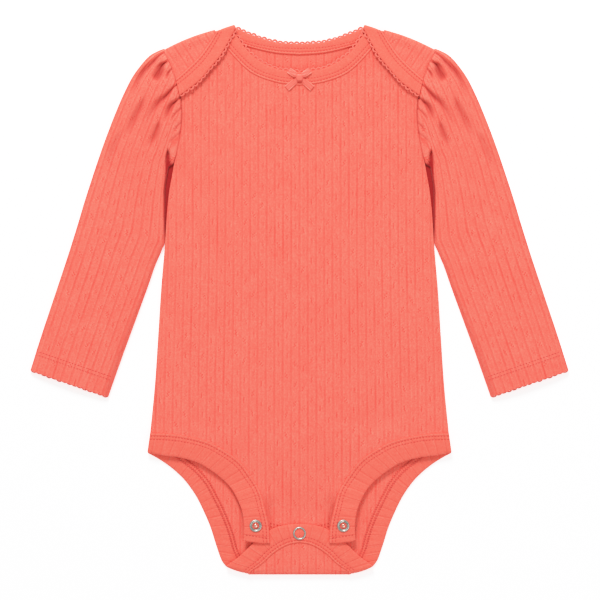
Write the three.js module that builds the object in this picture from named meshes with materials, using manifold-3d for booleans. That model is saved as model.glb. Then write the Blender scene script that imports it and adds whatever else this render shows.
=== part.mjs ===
// Long-sleeved baby bodysuit in rib knit, laid flat on its back with the neck towards +Y.
// Millimetres, +Z up. The origin is on the surface below the middle of the garment.
// In the tables, across is the distance from the middle line and up runs from crotch to neck.
// Left and right are as seen from above. Left pieces are the right ones mirrored.
import * as THREE from "three";
import Module from "manifold-3d";

const wasm = await Module();
wasm.setup();

// Cloth
const cloth = 1.2; // one layer of rib knit
const bandCloth = 1.6; // doubled knit of the bands
const seam = 0.3; // clearance between sewn pieces and between layers
const ribRise = 0.5; // how far a rib stands over its groove
const ribCount = 26; // ribs across the front panel
const bodyPuff = 1.8; // how far the front panel lifts off the back in the middle
const picotRise = 0.9; // how far a picot stands out of a band's free edge

// Outlines of the right half
const sideSeam = [
  { across: 116.3, up: -104 },
  { across: 112.7, up: -67 },
  { across: 110.2, up: -30 },
  { across: 107.8, up: 8 },
  { across: 105, up: 41 },
  { across: 102.3, up: 78 },
  { across: 97.9, up: 105 },
];
const armhole = [
  { across: 97.9, up: 105 },
  { across: 94.8, up: 117.5 },
  { across: 92.4, up: 131.5 },
  { across: 91.7, up: 145.5 },
  { across: 93.2, up: 159 },
  { across: 96.3, up: 172 },
  { across: 100.2, up: 182 },
  { across: 104.9, up: 192.2 },
];
const shoulderFold = [
  { across: 105.7, up: 194.8 },
  { across: 95.5, up: 200.2 },
  { across: 80.7, up: 205.7 },
  { across: 65.9, up: 210.4 },
  { across: 50.3, up: 214.3 },
];
const frontNeckSewn = [
  { across: 0, up: 167 },
  { across: 19.1, up: 169.6 },
  { across: 38.6, up: 177.6 },
  { across: 56, up: 195 },
  { across: 63.5, up: 206 },
];
const frontNeckFree = [
  { across: 0, up: 177.3 },
  { across: 19.1, up: 180.4 },
  { across: 36.5, up: 190 },
  { across: 48.5, up: 205 },
  { across: 51.5, up: 209.8 },
];
const backNeckSewn = [
  { across: 0, up: 191 },
  { across: 19.1, up: 192.5 },
  { across: 38.6, up: 197 },
  { across: 54.2, up: 202.6 },
  { across: 65.1, up: 207.9 },
];
const backNeckFree = [
  { across: 0, up: 199.4 },
  { across: 19.1, up: 200.9 },
  { across: 38.6, up: 207 },
  { across: 49.5, up: 211.7 },
];
const lapSewn = [
  { across: 65.1, up: 207.9 },
  { across: 71.7, up: 197.9 },
  { across: 78.4, up: 189 },
  { across: 87.4, up: 180 },
  { across: 96.3, up: 172 },
];
const lapFree = [
  { across: 49.5, up: 211.7 },
  { across: 54.6, up: 202.3 },
  { across: 61.3, up: 190.2 },
  { across: 68.8, up: 181 },
  { across: 77.8, up: 170.6 },
  { across: 86.2, up: 163.9 },
  { across: 93.2, up: 159 },
];
const frontLegSewn = [
  { across: 116.3, up: -104 },
  { across: 100.5, up: -104.6 },
  { across: 86.2, up: -106.7 },
  { across: 70.6, up: -111 },
  { across: 58.9, up: -117.2 },
  { across: 46.8, up: -125.8 },
  { across: 37.8, up: -137.5 },
  { across: 30.8, up: -149.2 },
  { across: 27.1, up: -163 },
  { across: 24.2, up: -176 },
  { across: 23.4, up: -189.3 },
];
const frontLegFree = [
  { across: 118.4, up: -118.8 },
  { across: 106.5, up: -121.3 },
  { across: 93.4, up: -123 },
  { across: 80.3, up: -126.6 },
  { across: 70.6, up: -132 },
  { across: 61.2, up: -139 },
  { across: 54, up: -146.1 },
  { across: 49.2, up: -153.9 },
  { across: 45, up: -164 },
  { across: 43.3, up: -175.7 },
  { across: 43.5, up: -187 },
];
const backLegSewn = [
  { across: 116.3, up: -104 },
  { across: 104.9, up: -111.7 },
  { across: 96.3, up: -118.8 },
  { across: 88.5, up: -124.4 },
  { across: 79.2, up: -131.6 },
  { across: 70.6, up: -141.6 },
  { across: 64.7, up: -152.3 },
  { across: 58.1, up: -165.6 },
  { across: 51.9, up: -181.9 },
  { across: 47.4, up: -197.5 },
  { across: 38, up: -212 },
];
const backLegFree = [
  { across: 118.2, up: -119.5 },
  { across: 105.7, up: -127.3 },
  { across: 97.1, up: -132.8 },
  { across: 88.5, up: -142.2 },
  { across: 81.5, up: -151.5 },
  { across: 76.8, up: -160.9 },
  { across: 72.9, up: -170.2 },
  { across: 69, up: -179.6 },
  { across: 65.9, up: -189 },
  { across: 62.8, up: -198.3 },
  { across: 57.5, up: -207.6 },
];
const flapSewn = [
  { across: 38, up: -211.5 },
  { across: 29, up: -205.4 },
  { across: 21.9, up: -198.7 },
  { across: 14.8, up: -193.6 },
  { across: 7.8, up: -190.4 },
  { across: 0, up: -189 },
];
const flapFree = [
  { across: 57, up: -207 },
  { across: 50.3, up: -202.5 },
  { across: 43.3, up: -196.6 },
  { across: 35.5, up: -189 },
  { across: 23.4, up: -179.6 },
  { across: 16.3, up: -176.5 },
  { across: 7.8, up: -174.9 },
  { across: 0, up: -174.5 },
];

// Sleeve, in its own directions: along runs from the cuff to the shoulder, in and out are the
// distances of its two folded edges from the sleeve's own middle line
const cuffMiddle = new THREE.Vector2(179.6, -65.4);
const sleeveAlong = new THREE.Vector2(-0.324, 0.946);
const sleeveOut = new THREE.Vector2(0.946, 0.324);
const sleeveSections = [
  { along: 0, out: 31, in: 31 },
  { along: 11.8, out: 31.6, in: 31.1 },
  { along: 12.6, out: 31.7, in: 31.1 },
  { along: 36, out: 32.3, in: 31.1 },
  { along: 88, out: 32.8, in: 32.3 },
  { along: 108, out: 33.4, in: 33.4 },
  { along: 124, out: 34, in: 35.3 },
  { along: 138, out: 34.6, in: 31.6 },
  { along: 160, out: 35, in: 25.7 },
  { along: 180, out: 35.1, in: 22.6 },
  { along: 196, out: 34.8, in: 23 },
  { along: 212, out: 34.1, in: 23 },
  { along: 228, out: 32.8, in: 23 },
  { along: 244, out: 30.3, in: 23 },
  { along: 260, out: 24.6, in: 23 },
  { along: 268, out: 18.2, in: 23 },
  { along: 276, out: 8, in: 23 },
];
const sleevePuff = { cuff: 1.8, cap: 3.1, fold: 0.5, lift: 1.5 };
const hem = { reach: 12.2, rise: 0.4 };
const sleeveRibs = 7;
// Gathers of the sleeve cap: up is where a gather leaves the seam, turn its slant below level in
// degrees, reach its length and deep its depth
const gathers = [
  { up: 190, turn: 20, reach: 20, deep: 1 },
  { up: 184.5, turn: 30, reach: 34, deep: 1.5 },
  { up: 177.5, turn: 42, reach: 27, deep: 1.3 },
  { up: 169.5, turn: 50, reach: 40, deep: 1.5 },
  { up: 160, turn: 55, reach: 30, deep: 1.2 },
  { up: 151, turn: 52, reach: 46, deep: 1.5 },
  { up: 142, turn: 60, reach: 28, deep: 1.1 },
  { up: 133, turn: 64, reach: 36, deep: 1.2 },
  { up: 123, turn: 70, reach: 22, deep: 0.8 },
];
const gatherWidth = 2.6;

// Layers over the crotch, each lying on the one before
const flapFloor = cloth + seam + cloth + 0.1 + seam;
const tabFloor = flapFloor + bandCloth + seam;

// Snaps, bow
const ringSnap = { across: 0, up: -181.9, outer: 5.2, inner: 3.4, tall: 0.9 };
const studSnap = { across: 34.1, up: -175.9, outer: 4.75, bowl: 2.6, ball: 1.5, tall: 1.3 };
const bow = { up: 173, ribbon: 0.4, wide: 4.7, waist: 2.6 };

const colours = {
  knit: { color: 0xf97d6e, roughness: 0.92, metalness: 0 },
  band: { color: 0xf27263, roughness: 0.9, metalness: 0 },
  satin: { color: 0xf47668, roughness: 0.4, metalness: 0 },
  snap: { color: 0xb9aea4, roughness: 0.35, metalness: 0.9 },
};

// Small helpers for lines in the plane of the cloth
const plan = (row) => new THREE.Vector2(row.across, row.up);
const mix = THREE.MathUtils.lerp;
const smooth = (from, to, value) => {
  const share = THREE.MathUtils.clamp((value - from) / (to - from), 0, 1);
  return share * share * (3 - 2 * share);
};
const mirrorPoint = (point) => new THREE.Vector2(-point.x, point.y);
const mirrorLine = (line) => line.map(mirrorPoint).reverse();

// Points at even spacing on a smooth curve through a table's rows
function smoothLine(rows, pieces) {
  return new THREE.SplineCurve(rows.map(plan)).getSpacedPoints(pieces);
}

// A value of a table or line where its key has a given amount, straight between its rows
function valueAt(rows, key, amount, wanted) {
  const rising = rows[rows.length - 1][key] > rows[0][key];
  const sorted = rising ? rows : [...rows].reverse();
  let index = sorted.findIndex((row) => row[key] >= amount);
  if (index < 0) index = sorted.length - 1;
  index = Math.max(index, 1);
  const low = sorted[index - 1];
  const high = sorted[index];
  const share = THREE.MathUtils.clamp((amount - low[key]) / (high[key] - low[key]), 0, 1);
  return mix(low[wanted], high[wanted], share);
}

// The shoulder's fold line moved in from the outline by an inset
const shoulderLine = shoulderFold.map(plan);
const shoulderRun = shoulderLine[4].clone().sub(shoulderLine[0]).normalize();
const shoulderOutward = new THREE.Vector2(shoulderRun.y, -shoulderRun.x);

// Grid of plan points between four lines, one row for each share of the way from the bottom line
// to the top line, for which the left and right lines have a point each
function patch(bottom, top, left, right, shares) {
  const columns = bottom.length - 1;
  return left.map((leftPoint, row) => {
    const v = shares[row];
    return bottom.map((bottomPoint, column) => {
      const u = column / columns;
      const point = bottomPoint.clone().multiplyScalar(1 - v);
      point.addScaledVector(top[column], v);
      point.addScaledVector(leftPoint, 1 - u);
      point.addScaledVector(right[row], u);
      point.addScaledVector(bottom[0], -(1 - u) * (1 - v));
      point.addScaledVector(bottom[columns], -u * (1 - v));
      point.addScaledVector(top[0], -(1 - u) * v);
      return point.addScaledVector(top[columns], -u * v);
    });
  });
}

// Closed solid of one or more sheets that share edges. Each sheet has an outer and an inner grid
// of points. Where a sheet's edge has no neighbour, a rim joins its outer and inner points.
function wall(sheets, closed = false) {
  const position = [];
  const faces = [];
  const known = new Map();
  const vertex = (outer, inner) => {
    const key = [outer, inner].flatMap((p) => [p.x, p.y, p.z].map((n) => n.toFixed(3))).join();
    if (!known.has(key)) {
      known.set(key, known.size);
      position.push(outer.x, outer.y, outer.z, inner.x, inner.y, inner.z);
    }
    return known.get(key) * 2;
  };
  for (const { outer, inner } of sheets) {
    for (let row = 0; row + 1 < outer.length; row += 1) {
      const columns = outer[row].length;
      for (let column = 0; column < (closed ? columns : columns - 1); column += 1) {
        const next = (column + 1) % columns;
        const a = vertex(outer[row][column], inner[row][column]);
        const b = vertex(outer[row][next], inner[row][next]);
        const c = vertex(outer[row + 1][next], inner[row + 1][next]);
        const d = vertex(outer[row + 1][column], inner[row + 1][column]);
        faces.push([a, b, c], [a, c, d]);
      }
    }
  }
  const walls = faces.filter(([a, b, c]) => a !== b && b !== c && a !== c);
  const edges = new Set(walls.flatMap(([a, b, c]) => [`${a},${b}`, `${b},${c}`, `${c},${a}`]));
  const index = [];
  for (const [a, b, c] of walls) {
    index.push(a, b, c, a + 1, c + 1, b + 1);
    for (const [from, to] of [[a, b], [b, c], [c, a]]) {
      if (!edges.has(`${to},${from}`)) index.push(to, from, from + 1, to, from + 1, to + 1);
    }
  }
  return solid(position, index);
}

// Geometry with its faces pointing out, whichever way round they were listed
function solid(position, index) {
  const corner = (i) => new THREE.Vector3().fromArray(position, index[i] * 3);
  let volume = 0;
  for (let i = 0; i < index.length; i += 3) {
    volume += corner(i).dot(corner(i + 1).cross(corner(i + 2)));
  }
  const geometry = new THREE.BufferGeometry();
  geometry.setAttribute("position", new THREE.Float32BufferAttribute(position, 3));
  geometry.setIndex(volume > 0 ? index : turned(index));
  return geometry;
}

// Faces listed the other way round
function turned(index) {
  const faces = [];
  for (let i = 0; i < index.length; i += 3) faces.push(index[i], index[i + 2], index[i + 1]);
  return faces;
}

// The same solid on the other side of the middle line
function mirrored(geometry) {
  const copy = geometry.clone();
  copy.scale(-1, 1, 1);
  copy.setIndex(turned(copy.index.array));
  return copy;
}

// Both panels' outer edge, from the leg opening up the side and round the armhole, with the
// shares of the panels' height at which its rows lie
const sideShares = [0, 0.04, 0.08, 0.16, 0.28, 0.4, 0.52];
const sideCurve = new THREE.SplineCurve(sideSeam.map(plan));
const sideLine = sideShares.map((share) => sideCurve.getPointAt(share / sideShares[6]));
const armholeLine = armhole.map(plan);
const panelEdge = [...sideLine, ...armholeLine.slice(1)];
const panelShares = panelEdge.map((_, row) =>
  row < 7 ? sideShares[row] : mix(sideShares[6], 1, (row - 6) / 7),
);

// Height of the front panel's inside over the surface
function frontFloor(point) {
  const across = Math.abs(point.x);
  const up = point.y;
  const fromSide = valueAt(sideLine, "y", Math.min(up, 105), "x") - across;
  const side = mix(smooth(0, 20, fromSide), 1, smooth(95, 125, up));
  const corner = new THREE.Vector2(across, up).sub(shoulderLine[0]);
  const fromShoulder = -corner.dot(shoulderOutward);
  const shoulder = mix(0.22, 1, smooth(2, 30, fromShoulder));
  const crotch = smooth(-165, -90, up);
  const overBand = 0.4 * smooth(-92, -106, up) * smooth(-165, -140, up);
  const seamRise = 1.4 * smooth(15, 24, across) * smooth(-140, -152, up) * smooth(-161, -153, up);
  return cloth + seam + overBand + seamRise + bodyPuff * side * shoulder * crotch;
}

// Sheet on a grid of plan points: its inside at a floor height, its outside a cloth above
function raise(grid, floor, thick, relief = () => 0) {
  const at = (point, z) => new THREE.Vector3(point.x, point.y, z);
  const inner = grid.map((row) => row.map((point) => at(point, floor(point))));
  const outer = grid.map((row, r) =>
    row.map((point, c) => at(point, floor(point) + thick + relief(point, r, c))),
  );
  return { outer, inner };
}

// Front panel: three columns a rib, the first of them down in the groove
function frontPanel() {
  const columns = ribCount * 3;
  const neck = smoothLine(frontNeckSewn, 20);
  const topLine = [...neck, armholeLine[7]];
  const legs = smoothLine(frontLegSewn, 24);
  const bottomLine = [...legs, new THREE.Vector2(0, legs[24].y)];
  const edge = (line, reach) =>
    Array.from({ length: columns + 1 }, (_, column) => {
      const across = reach * ((2 * column) / columns - 1);
      return new THREE.Vector2(across, valueAt(line, "x", Math.abs(across), "y"));
    });
  const bottom = edge(bottomLine, sideLine[0].x);
  const top = edge(topLine, armholeLine[7].x);
  const grid = patch(bottom, top, panelEdge.map(mirrorPoint), panelEdge, panelShares);
  const relief = (point, row, column) => {
    const groove = column % 3 === 0 ? 0 : ribRise;
    return mix(0.1, groove, smooth(-166, -154, point.y));
  };
  return wall([raise(grid, frontFloor, cloth, relief)]);
}

// Points of a fold that turns the cloth over, from lying on the surface to lying on top.
// outward points out of the fold and top is the height of the folded cloth's upper face.
const foldSteps = 4;
function foldRows(line, outward, top, thick) {
  const radius = top / 2;
  const rows = { outer: [], inner: [] };
  for (let step = 1; step <= foldSteps; step += 1) {
    const turn = (Math.PI * step) / foldSteps;
    const bend = (size) =>
      line.map((point) => {
        const out = size * Math.sin(turn);
        const z = radius - size * Math.cos(turn);
        return new THREE.Vector3(point.x + outward.x * out, point.y + outward.y * out, z);
      });
    rows.outer.push(bend(radius));
    rows.inner.push(bend(radius - thick));
  }
  return rows;
}

// Height of a lap's inside where it lies over the front panel
const lapFloor = (point) => frontFloor(point) + cloth + ribRise + seam;
const lapTop = cloth + lapFloor(armholeLine[7]);

// Back panel in one wall with its two shoulder laps and its crotch flap, which fold over to the
// front. The outside of its flat part faces down.
const shoulderColumns = 10;
const neckColumns = 12;
const legColumns = 8;
const flapColumns = 16;
const legLine = smoothLine(backLegSewn, legColumns);
const lapLine = smoothLine(lapSewn, shoulderColumns);
const neckCorner = lapLine[0];

function backPanel() {
  const straight = (from, to, pieces) =>
    Array.from({ length: pieces + 1 }, (_, i) => from.clone().lerp(to, i / pieces));
  const shoulder = straight(armholeLine[7], neckCorner, shoulderColumns);
  const neck = smoothLine(backNeckSewn, neckColumns / 2);
  const rightTop = [...neck.slice(0, -1), ...[...shoulder].reverse()];
  const top = [...mirrorLine(rightTop), ...rightTop.slice(1)];
  const foldEnd = legLine[legColumns];
  const fold = straight(mirrorPoint(foldEnd), foldEnd, flapColumns);
  const bottom = [...legLine.map(mirrorPoint), ...fold.slice(1, -1), ...[...legLine].reverse()];
  const grid = patch(bottom, top, panelEdge.map(mirrorPoint), panelEdge, panelShares);
  const flat = {
    outer: grid.map((row) => row.map((p) => new THREE.Vector3(p.x, p.y, 0)).reverse()),
    inner: grid.map((row) => row.map((p) => new THREE.Vector3(p.x, p.y, cloth)).reverse()),
  };

  const onTop = (line, floor, rib) => ({
    outer: line.map((p, i) => new THREE.Vector3(p.x, p.y, floor(p) + cloth + (i % 2) * rib)),
    inner: line.map((p) => new THREE.Vector3(p.x, p.y, floor(p))),
  });
  const sheet = (line, outward, top, ends, floor, rib, rows) => {
    const bent = foldRows(line, outward, top, cloth);
    const start = {
      outer: line.map((p) => new THREE.Vector3(p.x, p.y, 0)),
      inner: line.map((p) => new THREE.Vector3(p.x, p.y, cloth)),
    };
    const outer = [start.outer, ...bent.outer];
    const inner = [start.inner, ...bent.inner];
    for (let row = 1; row <= rows; row += 1) {
      const across = line.map((p, i) => p.clone().lerp(ends[i], row / rows));
      const lying = onTop(across, floor, rib);
      outer.push(lying.outer);
      inner.push(lying.inner);
    }
    return { outer, inner };
  };

  // The right lap's columns run from the armhole to the neck, its ends lie on the lap's seam
  const lapEnds = [...lapLine].reverse();
  lapEnds[shoulderColumns] = neckCorner.clone().add(new THREE.Vector2(0.5, -1.2));
  const lap = sheet(shoulder, shoulderOutward, lapTop, lapEnds, lapFloor, ribRise, 4);
  followArmhole(lap);
  const flapLine = smoothLine(flapSewn, 20);
  const flapEnds = fold.map(
    (p) => new THREE.Vector2(p.x, valueAt(flapLine, "x", Math.abs(p.x), "y")),
  );
  const down = new THREE.Vector2(0, -1);
  const flap = sheet(fold, down, flapFloor + cloth, flapEnds, () => flapFloor, ribRise, 3);
  const across = (rows) =>
    rows.map((row) => row.map((p) => new THREE.Vector3(-p.x, p.y, p.z)).reverse());
  const leftLap = { outer: across(lap.outer), inner: across(lap.inner) };
  return wall([flat, lap, leftLap, flap]);
}

// The lap's outermost column keeps to the armhole seam
function followArmhole(lap) {
  const flatRows = lap.outer.length - 1 - foldSteps;
  for (let row = 1; row <= flatRows; row += 1) {
    const up = mix(armholeLine[7].y, armholeLine[5].y, row / flatRows);
    const edge = new THREE.Vector2(valueAt(armholeLine, "y", up, "x"), up);
    const floor = lapFloor(edge);
    lap.outer[row + foldSteps][0].set(edge.x, edge.y, floor + cloth);
    lap.inner[row + foldSteps][0].set(edge.x, edge.y, floor);
  }
}

// Sleeve: closed sections from cuff to cap, then cut off along the armhole seam
function sleeve() {
  const upperColumns = sleeveRibs * 4;
  const lowerColumns = 4;
  const bend = (2 * cloth + sleevePuff.fold) / 2;
  const place = (along, out) =>
    cuffMiddle.clone().addScaledVector(sleeveAlong, along).addScaledVector(sleeveOut, out);
  const outer = [];
  const inner = [];
  sleeveSections.forEach((section, index) => {
    const before = sleeveSections[Math.max(index - 1, 0)];
    const after = sleeveSections[Math.min(index + 1, sleeveSections.length - 1)];
    const normal = (key, sign) => {
      const rise = (after[key] - before[key]) / (after.along - before.along);
      const out = sleeveOut.clone().multiplyScalar(sign).addScaledVector(sleeveAlong, -rise);
      return out.normalize();
    };
    const outNormal = normal("out", 1);
    const inNormal = normal("in", -1);
    const outEdge = place(section.along, section.out).addScaledVector(outNormal, -bend);
    const inEdge = place(section.along, -section.in).addScaledVector(inNormal, -bend);
    const outerRow = [];
    const innerRow = [];
    const add = (point, outerZ, innerPoint, innerZ) => {
      outerRow.push(new THREE.Vector3(point.x, point.y, outerZ));
      innerRow.push(new THREE.Vector3(innerPoint.x, innerPoint.y, innerZ));
    };
    const turn = (edge, normalOut, degrees) => {
      const angle = THREE.MathUtils.degToRad(degrees);
      const at = (size) => edge.clone().addScaledVector(normalOut, size * Math.cos(angle));
      const small = bend - cloth;
      add(at(bend), bend + bend * Math.sin(angle), at(small), bend + small * Math.sin(angle));
    };
    for (let column = 0; column <= upperColumns; column += 1) {
      const u = column / upperColumns;
      const point = inEdge.clone().lerp(outEdge, u);
      const cap = smooth(120, 240, section.along);
      const puff = mix(sleevePuff.cuff, sleevePuff.cap, cap) * Math.sin(Math.PI * u) ** 0.6;
      const floor = cloth + sleevePuff.fold + puff;
      const edgeFade = smooth(0, 0.08, u) * smooth(1, 0.92, u);
      const relief = sleeveRelief(point, section.along, column) * edgeFade;
      add(point, floor + cloth + relief, point, floor);
    }
    turn(outEdge, outNormal, 30);
    turn(outEdge, outNormal, -30);
    for (let column = 0; column <= lowerColumns; column += 1) {
      const point = outEdge.clone().lerp(inEdge, column / lowerColumns);
      add(point, 0, point, cloth);
    }
    turn(inEdge, inNormal, -30);
    turn(inEdge, inNormal, 30);
    outer.push(outerRow);
    inner.push(innerRow);
  });
  return cutAtArmhole(wall([{ outer, inner }], true));
}

// Ribs along the sleeve, the doubled hem and the gathers of the cap
function sleeveRelief(point, along, column) {
  const rib = column % 4 === 0 ? 0 : ribRise;
  const doubled = along < hem.reach ? hem.rise : 0;
  const nearCap = smooth(150, 215, along);
  let gathered = sleevePuff.lift;
  for (const { up, turn, reach, deep } of gathers) {
    const start = new THREE.Vector2(valueAt(armholeLine, "y", up, "x"), up);
    const angle = THREE.MathUtils.degToRad(turn);
    const run = new THREE.Vector2(Math.cos(angle), -Math.sin(angle));
    const away = point.clone().sub(start);
    const length = away.dot(run);
    const beside = away.cross(run);
    const fade = smooth(reach, reach * 0.3, length) * smooth(-8, -2, length);
    gathered -= deep * fade * Math.exp(-((beside / gatherWidth) ** 2));
  }
  return mix(rib + doubled, Math.max(gathered, 0), nearCap);
}

// What lies on the sleeve's side of the armhole seam
function cutAtArmhole(geometry) {
  const far = 320;
  const clear = new THREE.Vector2(seam + 0.1, 0);
  const line = [...sideLine.slice(4, -1), ...armholeLine].map((point) => point.clone().add(clear));
  const top = line[line.length - 1].clone().addScaledVector(shoulderOutward, 8);
  const outline = new THREE.Shape([
    new THREE.Vector2(line[0].x, -far),
    ...line,
    top,
    new THREE.Vector2(top.x, far),
    new THREE.Vector2(far, far),
    new THREE.Vector2(far, -far),
  ]);
  const keep = new THREE.ExtrudeGeometry(outline, { depth: 40, bevelEnabled: false });
  keep.translate(0, 0, -20);
  return fromManifold(toManifold(geometry).intersect(toManifold(welded(keep))));
}

// The same faces with their shared corners merged
function welded(indexed) {
  const geometry = indexed.index ? indexed.toNonIndexed() : indexed;
  const source = geometry.getAttribute("position");
  const known = new Map();
  const position = [];
  const corners = [];
  for (let i = 0; i < source.count; i += 1) {
    const point = [source.getX(i), source.getY(i), source.getZ(i)];
    const key = point.map((n) => Math.round(n * 1e4)).join();
    if (!known.has(key)) {
      known.set(key, known.size);
      position.push(...point);
    }
    corners.push(known.get(key));
  }
  const index = [];
  for (let i = 0; i < corners.length; i += 3) {
    const [a, b, c] = corners.slice(i, i + 3);
    if (a !== b && b !== c && a !== c) index.push(a, b, c);
  }
  return solid(position, index);
}

function toManifold(geometry) {
  const vertProperties = new Float32Array(geometry.getAttribute("position").array);
  const triVerts = new Uint32Array(geometry.index.array);
  return new wasm.Manifold(new wasm.Mesh({ numProp: 3, vertProperties, triVerts }));
}

function fromManifold(manifold) {
  const mesh = manifold.getMesh();
  return solid(Array.from(mesh.vertProperties), Array.from(mesh.triVerts));
}

// Band between its sewn and its free edge, with picots along the free edge where it has them
function band(sewn, free, floor, { picots = 0, rows = 1, cross = 0 } = {}) {
  const columns = sewn.length - 1;
  const grid = Array.from({ length: rows + 1 }, (_, row) =>
    sewn.map((from, column) => {
      const to = free[column];
      const reach = from.distanceTo(to);
      const scallop = picots && column % 3 !== 0 ? picotRise : 0;
      const first = (seam + 0.05) / reach;
      const last = 1 + scallop / reach;
      return from.clone().lerp(to, mix(first, last, row / rows));
    }),
  );
  const relief = (point, row, column) => (column % 2 && column < columns ? cross : 0);
  return raise(grid, floor, bandCloth, relief);
}

function neckBands() {
  const frontPicots = 26;
  const backPicots = 22;
  const half = (rows, pieces) => {
    const line = smoothLine(rows, pieces);
    return [...mirrorLine(line), ...line.slice(1)];
  };
  const frontPieces = (frontPicots * 3) / 2;
  const backPieces = (backPicots * 3) / 2;
  const front = band(
    half(frontNeckSewn, frontPieces).map((p) => p.clone()),
    half(frontNeckFree, frontPieces),
    frontFloor,
    { picots: frontPicots },
  );
  const back = band(half(backNeckSewn, backPieces), half(backNeckFree, backPieces), () => 0, {
    picots: backPicots,
  });
  return { front: wall([front]), back: wall([back]) };
}

// Right lap band: from the shoulder's fold down along the lap's edge to the armhole seam
function lapBand() {
  const picots = 17;
  const pieces = picots * 3;
  const sewn = smoothLine(lapSewn, pieces);
  const free = smoothLine(lapFree, pieces);
  const lying = band(sewn, free, lapFloor, { picots });
  const top = lying.outer[0][0].z;
  const across = lying.outer.map((row) => new THREE.Vector2(row[0].x, row[0].y));
  const bent = foldRows(across, shoulderOutward, top, bandCloth);
  const fold = (kind, height) =>
    across.map((point, row) => {
      const start = new THREE.Vector3(point.x, point.y, height);
      return [start, ...bent[kind].slice(0, -1).map((line) => line[row])];
    });
  const joined = (kind, height) =>
    fold(kind, height).map((start, row) => [...start, ...lying[kind][row]]);
  return wall([{ outer: joined("outer", 0), inner: joined("inner", bandCloth) }]);
}

function legBands() {
  const frontPieces = 24;
  const tabRise = (point) => {
    const share = smooth(-146, -167, point.y);
    return mix(frontFloor({ x: 60, y: point.y }), tabFloor, share);
  };
  const front = band(
    smoothLine(frontLegSewn, frontPieces),
    smoothLine(frontLegFree, frontPieces),
    tabRise,
    { rows: 2, cross: 0.25 },
  );
  const subdivided = legLine.flatMap((point, i) =>
    i < legColumns ? [point, point.clone().lerp(legLine[i + 1], 0.5)] : [point],
  );
  const back = band(subdivided, smoothLine(backLegFree, legColumns * 2), () => 0);
  return { front: wall([front]), back: wall([back]) };
}

// Band of the crotch flap, from fold to fold over the front panel
function flapBand() {
  const half = (rows) => {
    const line = smoothLine(rows, 12);
    return [...line, ...mirrorLine(line).slice(1)];
  };
  const grid = band(half(flapSewn), half(flapFree), () => flapFloor, { rows: 2, cross: 0.2 });
  return wall([grid]);
}

// Open snap ring and the studs of the two tabs, each turned about its own axis
function turnedPiece(profile, { across, up }, z) {
  const geometry = new THREE.LatheGeometry(profile, 16);
  geometry.rotateX(Math.PI / 2);
  geometry.translate(across, up, z);
  return welded(geometry);
}

function snapRing() {
  const { outer, inner, tall } = ringSnap;
  const middle = (outer + inner) / 2;
  const profile = [
    [outer, 0], [outer, tall * 0.6], [middle, tall], [inner, tall * 0.6], [inner, 0], [outer, 0],
  ];
  return profile.map(([radius, z]) => new THREE.Vector2(radius, z));
}

function snapStud() {
  const { outer, bowl, ball, tall } = studSnap;
  const profile = [
    [0, 0], [outer, 0], [outer, tall * 0.5], [outer * 0.82, tall], [bowl, tall * 0.7],
    [bowl * 0.9, 0.4], [ball, 0.4], [ball, tall * 0.8], [ball * 0.5, tall * 1.1], [0, tall * 1.1],
  ];
  return profile.map(([radius, z]) => new THREE.Vector2(radius, z));
}

// Strip of ribbon along a path of distances from the knot and heights, narrow at the knot
function ribbonStrip(path, degrees, height) {
  const angle = THREE.MathUtils.degToRad(degrees);
  const run = new THREE.Vector2(Math.cos(angle), Math.sin(angle));
  const side = new THREE.Vector2(-run.y, run.x);
  const row = (shift) =>
    [-1, 1].map((edge) =>
      path.map(({ away, z, wide }, i) => {
        const before = path[Math.max(i - 1, 0)];
        const after = path[Math.min(i + 1, path.length - 1)];
        const steep = new THREE.Vector2(after.away - before.away, after.z - before.z).normalize();
        const reach = away - steep.y * shift;
        const out = (edge * wide) / 2;
        const x = run.x * reach + side.x * out;
        const y = bow.up + run.y * reach + side.y * out;
        return new THREE.Vector3(x, y, height + z + steep.x * shift);
      }),
    );
  return wall([{ outer: row(bow.ribbon), inner: row(0) }]);
}

function bowPieces() {
  const height = frontFloor({ x: 0, y: bow.up }) + bandCloth + seam;
  const { wide, waist } = bow;
  const loopPath = [
    { away: 2.4, z: 0.1, wide: waist },
    { away: 5, z: 0, wide: wide * 0.9 },
    { away: 9.2, z: 0, wide },
    { away: 10.2, z: 0.55, wide },
    { away: 9.2, z: 1.3, wide },
    { away: 5, z: 1.7, wide: wide * 0.9 },
    { away: 2.4, z: 1.2, wide: waist },
  ];
  const tailPath = [
    { away: 2.4, z: 0.1, wide: waist },
    { away: 6, z: 0, wide: wide * 0.85 },
    { away: 12.4, z: 0, wide },
  ];
  const knot = new THREE.SphereGeometry(1, 12, 8);
  knot.scale(2, 2.3, 1.3);
  knot.translate(0, bow.up, height + 1.3);
  return {
    loop: ribbonStrip(loopPath, 32, height),
    tail: ribbonStrip(tailPath, -42, height),
    knot: welded(knot),
  };
}

// Assembly
const garment = new THREE.Group();
function add(name, geometry, finish) {
  const mesh = new THREE.Mesh(geometry, new THREE.MeshStandardMaterial(colours[finish]));
  mesh.name = name;
  garment.add(mesh);
}
function addPair(name, geometry, finish) {
  add(`${name}_right`, geometry, finish);
  add(`${name}_left`, mirrored(geometry), finish);
}

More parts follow.
